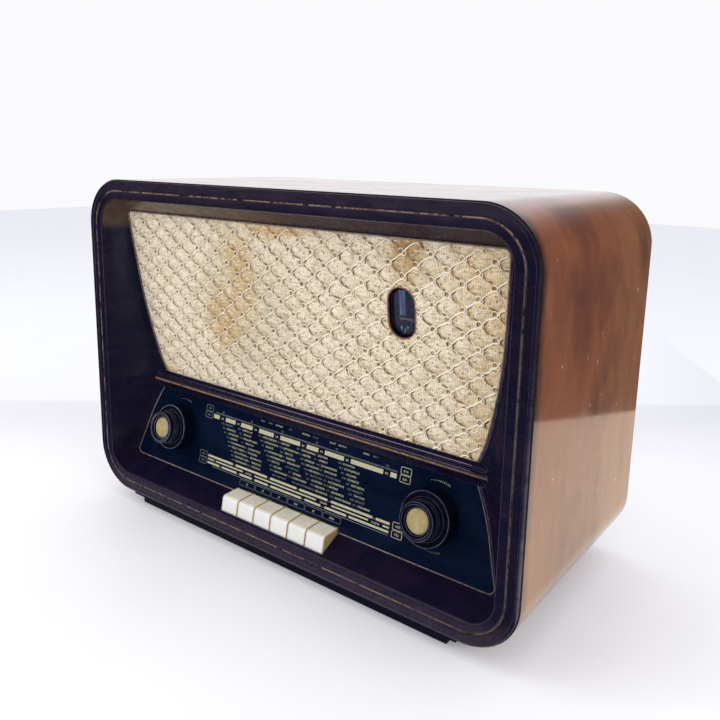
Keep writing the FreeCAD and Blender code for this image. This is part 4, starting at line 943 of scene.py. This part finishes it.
# ---- painted highlights on edges
# A knob's circles as (radius, distance in front of the dial, thickness), in millimetres.
RING_CIRCLES = ((25.0, 17.3, 0.34), (20.0, 17.3, 0.16))
KNOB_CIRCLES = ((17.95, 20.4, 0.13), (17.85, 23.0, 0.13), (17.8, 25.6, 0.13), (17.0, 30.9, 0.34),
                (14.9, 31.5, 0.26), (12.4, 29.6, 0.22))


def make_knob_highlights():
    """Painted highlights on the knobs' edges: thin paler rings that turn with them."""
    shine = {"specular_ior_level": 0.4}
    # Painted highlights: pale lilac lines on the knobs' edges, the brighter set on the left-hand knobs, where
    # the light falls.
    rubbed = plain("painted_edge_highlight", (0.035, 0.030, 0.050), (0.150, 0.130, 0.190), 55, 0.28, **shine)
    bright = plain("painted_edge_highlight_left", (0.10, 0.09, 0.13), (0.27, 0.25, 0.32), 60, 0.28, **shine)
    angles = [2 * pi * k / 72 for k in range(72)]
    for x, knob, ring, polish in ((KNOB_X, "tuning_spindle", "fm_spindle", rubbed),
                                  (-KNOB_X, "volume_control_turn", "tone_control_turn", bright)):
        for body, circles in ((ring, RING_CIRCLES), (knob, KNOB_CIRCLES)):
            lines = Sculpt()
            for radius, front, size in circles:
                lines.tube([on_dial(x + radius * cos(a), -front, KNOB_Z + radius * sin(a))
                            for a in angles], size / 1000, closed=True)
            lines.build(body + "_edge_highlights", polish, body, "knob_brown")


def make_rail_highlight():
    """A painted highlight along the rail's upper ridge, palest to the right of the middle."""
    p = Paint("rail_painted_highlight", roughness=0.3, specular_ior_level=0.4)
    along = p.sum(p.axis("X"), p.times(p.noise(12, 4, 0.7), 0.10))
    p.set(base_color=p.mix(p.band(along, -0.14, 0.05), (0.016, 0.012, 0.026), (0.27, 0.235, 0.33)))
    ridge = Sculpt()
    for drop, back, size in ((0.0, 0.0, 0.34), (4.6, 1.5, 0.18)):
        y, z = RAIL_RIDGE_Y - back - MIDDLE_Y, RAIL_RIDGE_Z - drop + FOOT
        ridge.tube([Vector((x, y, z)) / 1000 for x in range(-208, 209, 8)], size / 1000)
    ridge.build("rail_ridge_highlight", p.bump(p.noise(300, 2), 0.2, 0.0002), "cabinet", "bakelite")


make_knob_highlights()
make_rail_highlight()


# ---- tuning-eye valve
# Distance behind the grille plane, radius and half height of the valve, in millimetres.
EYE_DEPTH, EYE_RADIUS, EYE_HALF = 21.0, 11.0, 31.0


def turned(profile, sides):
    """A closed turned body from (radius, height) pairs about the upright axis."""
    shape, rings = Sculpt(), []
    for r, h in profile:
        first = len(shape.points)
        if r:
            rings.append(list(range(first, first + sides)))
            shape.points += [(r * cos(2 * pi * k / sides), r * sin(2 * pi * k / sides), h)
                             for k in range(sides)]
        else:
            rings.append([first] * sides)
            shape.points.append((0.0, 0.0, h))
    for a, b in zip(rings, rings[1:]):
        for k in range(sides):
            m = (k + 1) % sides
            face = list(dict.fromkeys((a[k], a[m], b[m], b[k])))
            if len(face) > 2:
                shape.faces.append(face)
    return shape


def block(x0, x1, y0, y1, z0, z1):
    shape = Sculpt()
    corners = [(x, y, z) for x in (x0, x1) for y in (y0, y1) for z in (z0, z1)]
    shape.add(corners, [[0, 1, 3, 2], [4, 6, 7, 5], [0, 4, 5, 1], [2, 3, 7, 6], [0, 2, 6, 4], [1, 5, 7, 3]])
    return shape


def oval(inset, depth, crown, thick):
    """A dished oval disc filling the slot, its middle nearer the front by crown."""
    disc, count = Sculpt(), 48
    reach = EYE_WIDTH / 2 - inset
    for side in (0.0, thick):
        for share in (1.0, 0.8, 0.55, 0.28, 0.02):
            y = depth + side - crown * (1 - share ** 2) - EYE_DEPTH
            for k in range(count):
                a = 2 * pi * k / count
                z = reach * sin(a) + copysign(EYE_RISE, sin(a))
                disc.points.append((reach * cos(a) * share, y, z * share))
    rings = len(disc.points) // count
    half_way = rings // 2
    links = [(n, n + 1) for n in range(rings - 1) if n != half_way - 1] + [(0, half_way)]
    for a, b in links:
        for k in range(count):
            m = (k + 1) % count
            disc.faces.append([a * count + k, a * count + m, b * count + m, b * count + k])
    for ring in (half_way - 1, rings - 1):
        disc.faces.append(list(range(ring * count, (ring + 1) * count)))
    return disc


def place_in_eye(name, shape, material, bevel):
    """Stands a piece built about the valve's middle in the slot."""
    shape.points = [on_grille(EYE_X + x, EYE_DEPTH + y, EYE_Z + z) for x, y, z in shape.points]
    piece = shape.build(name, material, "cabinet", "eye_glass", not bevel)
    if bevel:
        edge = piece.modifiers.new("edge", "BEVEL")
        edge.width, edge.segments = bevel / 1000, 2
    return piece


def make_eye():
    """The valve's glass with its shield behind, and what shows in the slot just behind the cloth."""
    glass_line = [(0, -EYE_HALF), (EYE_RADIUS - 1.5, -EYE_HALF), (EYE_RADIUS - 0.3, -EYE_HALF + 1.2),
                  (EYE_RADIUS, -EYE_HALF + 4)]
    glass_line += [(EYE_RADIUS, -18 + 6 * k) for k in range(8)]
    glass_line += [(EYE_RADIUS * cos(radians(a)), 25 + 5.0 * sin(radians(a)))
                   for a in range(10, 80, 12)]
    glass_line += [(2.0, 30.2), (1.0, 30.9), (0, EYE_HALF)]
    envelope = place_in_eye("eye_envelope", turned(glass_line, 48), MATERIALS["eye_glass"], 0.0)
    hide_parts("eye_valve")
    shield = turned([(0, -24), (8.6, -24), (8.9, -23.5), (8.9, 23), (8.2, 24.2), (0, 24.5)], 36)
    pins = Sculpt()
    for x, low, high in ((-3.6, -17.5, -13.0), (0.4, -19.0, -15.2), (3.2, -15.5, -12.6)):
        pins.tube([Vector((x, -15.8, low + (high - low) * k / 4)) for k in range(5)], 0.6, 8)
    black = plain("getter_black", (0.006, 0.009, 0.018), (0.02, 0.025, 0.04), 200, 0.16, coat_weight=0.5)
    target = plain("eye_target", (0.06, 0.08, 0.13), (0.70, 0.74, 0.78), 160, 0.35, grain=(3.0, 1, 0.15))
    copper = plain("eye_band_copper", (0.30, 0.15, 0.10), (0.42, 0.24, 0.17), 200, 0.4, metallic=0.3)
    wire = plain("eye_wire", (0.62, 0.62, 0.62), (0.82, 0.82, 0.80), 300, 0.25, metallic=0.9)
    screen = plain("eye_screen", (0.0015, 0.0035, 0.016), (0.004, 0.008, 0.026), 160, 0.45,
                   specular_ior_level=0.15)
    window = smoked_glass("eye_window", (0.62, 0.68, 0.92), 0.998)
    for name, shape, material, bevel in (
            ("eye_shield", shield, black, 0.0),
            ("eye_target_plate", block(-5.4, 1.6, -15.9, -15.3, -3.5, 19.5), target, 0.2),
            ("eye_band", block(-5.0, 12.6, -16.2, -15.3, -7.6, -5.2), copper, 0.2),
            ("eye_pins", pins, wire, 0.0),
            ("eye_screen", oval(0.35, 6.4, 0.0, 0.8), screen, 0.0),
            ("eye_window", oval(0.30, 4.4, 3.0, 0.7), window, 0.0)):
        place_in_eye(name, shape, material, bevel)


make_eye()

# ---- floor, light and camera
STAGE_HALF = 4.5
# Angle of the tabletop's far seam, in degrees: almost level in the camera.
SEAM_TURN = -39.3
CARD_LIFT = 0.004


def stage_sheet(name, corners, material):
    mesh = bpy.data.meshes.new(name)
    mesh.from_pydata(corners, [], [(0, 1, 2, 3)])
    mesh.materials.append(material)
    sheet = bpy.data.objects.new(name, mesh)
    scene.collection.objects.link(sheet)
    return sheet


def level(x0, y0, x1, y1, z):
    return [(x0, y0, z), (x1, y0, z), (x1, y1, z), (x0, y1, z)]


def upright(x0, y0, x1, y1, high):
    return [(x0, y0, 0.0), (x1, y1, 0.0), (x1, y1, high), (x0, y0, high)]


def floor_finish():
    """Pale tabletop, darker towards its far seam and a shade lighter beyond it; it glows faintly, painted
    light that lifts the shadows on it.
    """
    p = Paint("tabletop", specular_ior_level=0.35, emission_strength=0.15,
              emission_color=(0.93, 0.93, 1.0, 1))
    where = p.axis("Y", p.coords(turn=(0, 0, radians(SEAM_TURN))))
    colour = p.layers(
        p.mix(p.band(p.noise(3.0, 3), 0.3, 0.7), (0.765, 0.765, 0.792), (0.785, 0.785, 0.808)),
        (p.band(where, 0.10, 0.38), (0.595, 0.598, 0.625)),
        (p.band(where, 0.405, 0.415), (0.665, 0.67, 0.70)))
    p.set(base_color=colour, roughness=p.band(p.noise(8, 3), 0.3, 0.7, 0.42, 0.5))
    return p.mat


def card(name, corners, p, surface):
    """A studio card that only reflections see."""
    p.tree.nodes.remove(p.shader)
    p.tree.links.new(surface, p.out.inputs[0])
    sheet = stage_sheet(name, corners, p.mat)
    sheet.visible_camera = sheet.visible_diffuse = sheet.visible_shadow = sheet.visible_transmission = False


def wall_card(name, corners, glow, clear=None):
    """A dim card beside the set; clear=(low, high) lets it brighten upwards and to the left."""
    p = Paint(name)
    tone = (*glow, 1)
    if clear:
        share = p.most(p.band(p.axis("Z"), *clear), p.band(p.axis("X"), -0.10, 0.36, 1.0, 0.0))
        tone = p.mix(share, glow, (0.93, 0.93, 0.96))
    card(name, corners, p, p.node("Emission", {0: tone}))


def floor_card(name, corners, glow):
    """Sets the tone of the floor in polished surfaces; clear from below."""
    p = Paint(name)
    below = p.node("NewGeometry", out="Backfacing")
    card(name, corners, p, p.node("MixShader", {0: below, 1: p.node("Emission", {0: (*glow, 1)}),
                                                2: p.node("BsdfTransparent")}))


stage_sheet("floor", level(-STAGE_HALF, -STAGE_HALF, STAGE_HALF, STAGE_HALF, 0), floor_finish())
floor_card("card_floor", level(-1.4, -1.6, 1.3, -0.150, CARD_LIFT), (0.03, 0.035, 0.11))
right_card = level(0.285, -0.149, 4.0, 3.0, CARD_LIFT + 0.002)
right_card[1] = (4.0, -0.80, CARD_LIFT + 0.002)
floor_card("card_floor_right", right_card, (1.02, 0.89, 0.74))
wall_card("card_right", upright(0.98, -0.30, -0.16, 1.48, 2.0), (0.022, 0.022, 0.030), (0.55, 1.05))
wall_card("card_front", upright(0.55, -1.13, -1.30, 0.10, 1.4), (0.004, 0.008, 0.020))


def make_world():
    """Even light for matt surfaces; polished ones see it bright on one side and dim on the other."""
    world = bpy.data.worlds.new("studio")
    scene.world = world
    world.use_nodes = True
    tree = world.node_tree
    tree.nodes.clear()

    def glow(colour, strength=1.0):
        return add_node(tree, "Background", {"Color": (*colour, 1), "Strength": strength})
    ahead = add_node(tree, "TexCoord", out="Generated")
    facing = add_node(tree, "VectorMath", {0: ahead, 1: (-0.60, 0.76, 0.25)}, "Value",
                      operation="DOT_PRODUCT")
    share = add_node(tree, "MapRange", {"Value": facing, "From Min": -0.35, "From Max": 0.45},
                     interpolation_type="SMOOTHSTEP")
    dim, bright = glow((0.10, 0.115, 0.16)), glow((0.96, 0.965, 1.0))
    mirrored = add_node(tree, "MixShader", {0: share, 1: dim, 2: bright})
    glossy = add_node(tree, "LightPath", out="Is Glossy Ray")
    direct = add_node(tree, "LightPath", out="Is Camera Ray")
    lit = add_node(tree, "MixShader", {0: glossy, 1: glow((0.90, 0.905, 0.935), 1.07), 2: mirrored})
    seen = add_node(tree, "MixShader", {0: direct, 1: lit, 2: glow((0.955, 0.957, 0.975))})
    tree.links.new(seen, tree.nodes.new("ShaderNodeOutputWorld").inputs[0])


def softbox(name, place, target, size, power, colour, glossy):
    lamp = bpy.data.lights.new(name, "AREA")
    lamp.shape, lamp.size, lamp.size_y = "RECTANGLE", size[0], size[1]
    lamp.energy, lamp.color = power, colour
    holder = bpy.data.objects.new(name, lamp)
    scene.collection.objects.link(holder)
    holder.location = place
    holder.rotation_euler = (Vector(target) - Vector(place)).to_track_quat("-Z", "Y").to_euler()
    holder.visible_glossy = glossy
    holder.visible_camera = False


make_world()
for light in (("top_light", (-0.35, 0.15, 2.3), (0, 0, 0.1), (2.2, 2.2), 7, (1.0, 0.99, 0.97), True),
              ("key_light", (-1.5, -1.5, 1.5), (0, 0, 0.2), (1.5, 1.5), 14, (1.0, 0.985, 0.96), False),
              ("side_light", (1.9, 0.2, 0.9), (0.2, 0, 0.1), (1.6, 1.2), 11, (1.0, 1.0, 1.0), False),
              ("window_light", (-1.7, -1.1, 1.25), (0, 0, 0.2), (0.45, 0.75), 3.0, (1.0, 1.0, 1.0), True)):
    softbox(*light)

# The camera's place, and its pitch, roll and heading in degrees, fitted to the photo's perspective.
CAMERA_PLACE, CAMERA_TURN = (0.49072, -0.62378, 0.41677), (-11.422, -1.071, 37.4)
lens = bpy.data.cameras.new("camera")
lens.lens, lens.sensor_width, lens.shift_y = 36.82, 36.0, -0.0783
lens.clip_start, lens.clip_end = 0.02, 50
camera = bpy.data.objects.new("camera", lens)
scene.collection.objects.link(camera)
aim = Euler([radians(turn) for turn in CAMERA_TURN], "XYZ").to_matrix()
camera.matrix_world = (Matrix.Translation(CAMERA_PLACE)
                       @ (aim @ Matrix.Rotation(radians(90), 3, "X")).to_4x4())
scene.camera = camera
scene.view_settings.view_transform = "Standard"
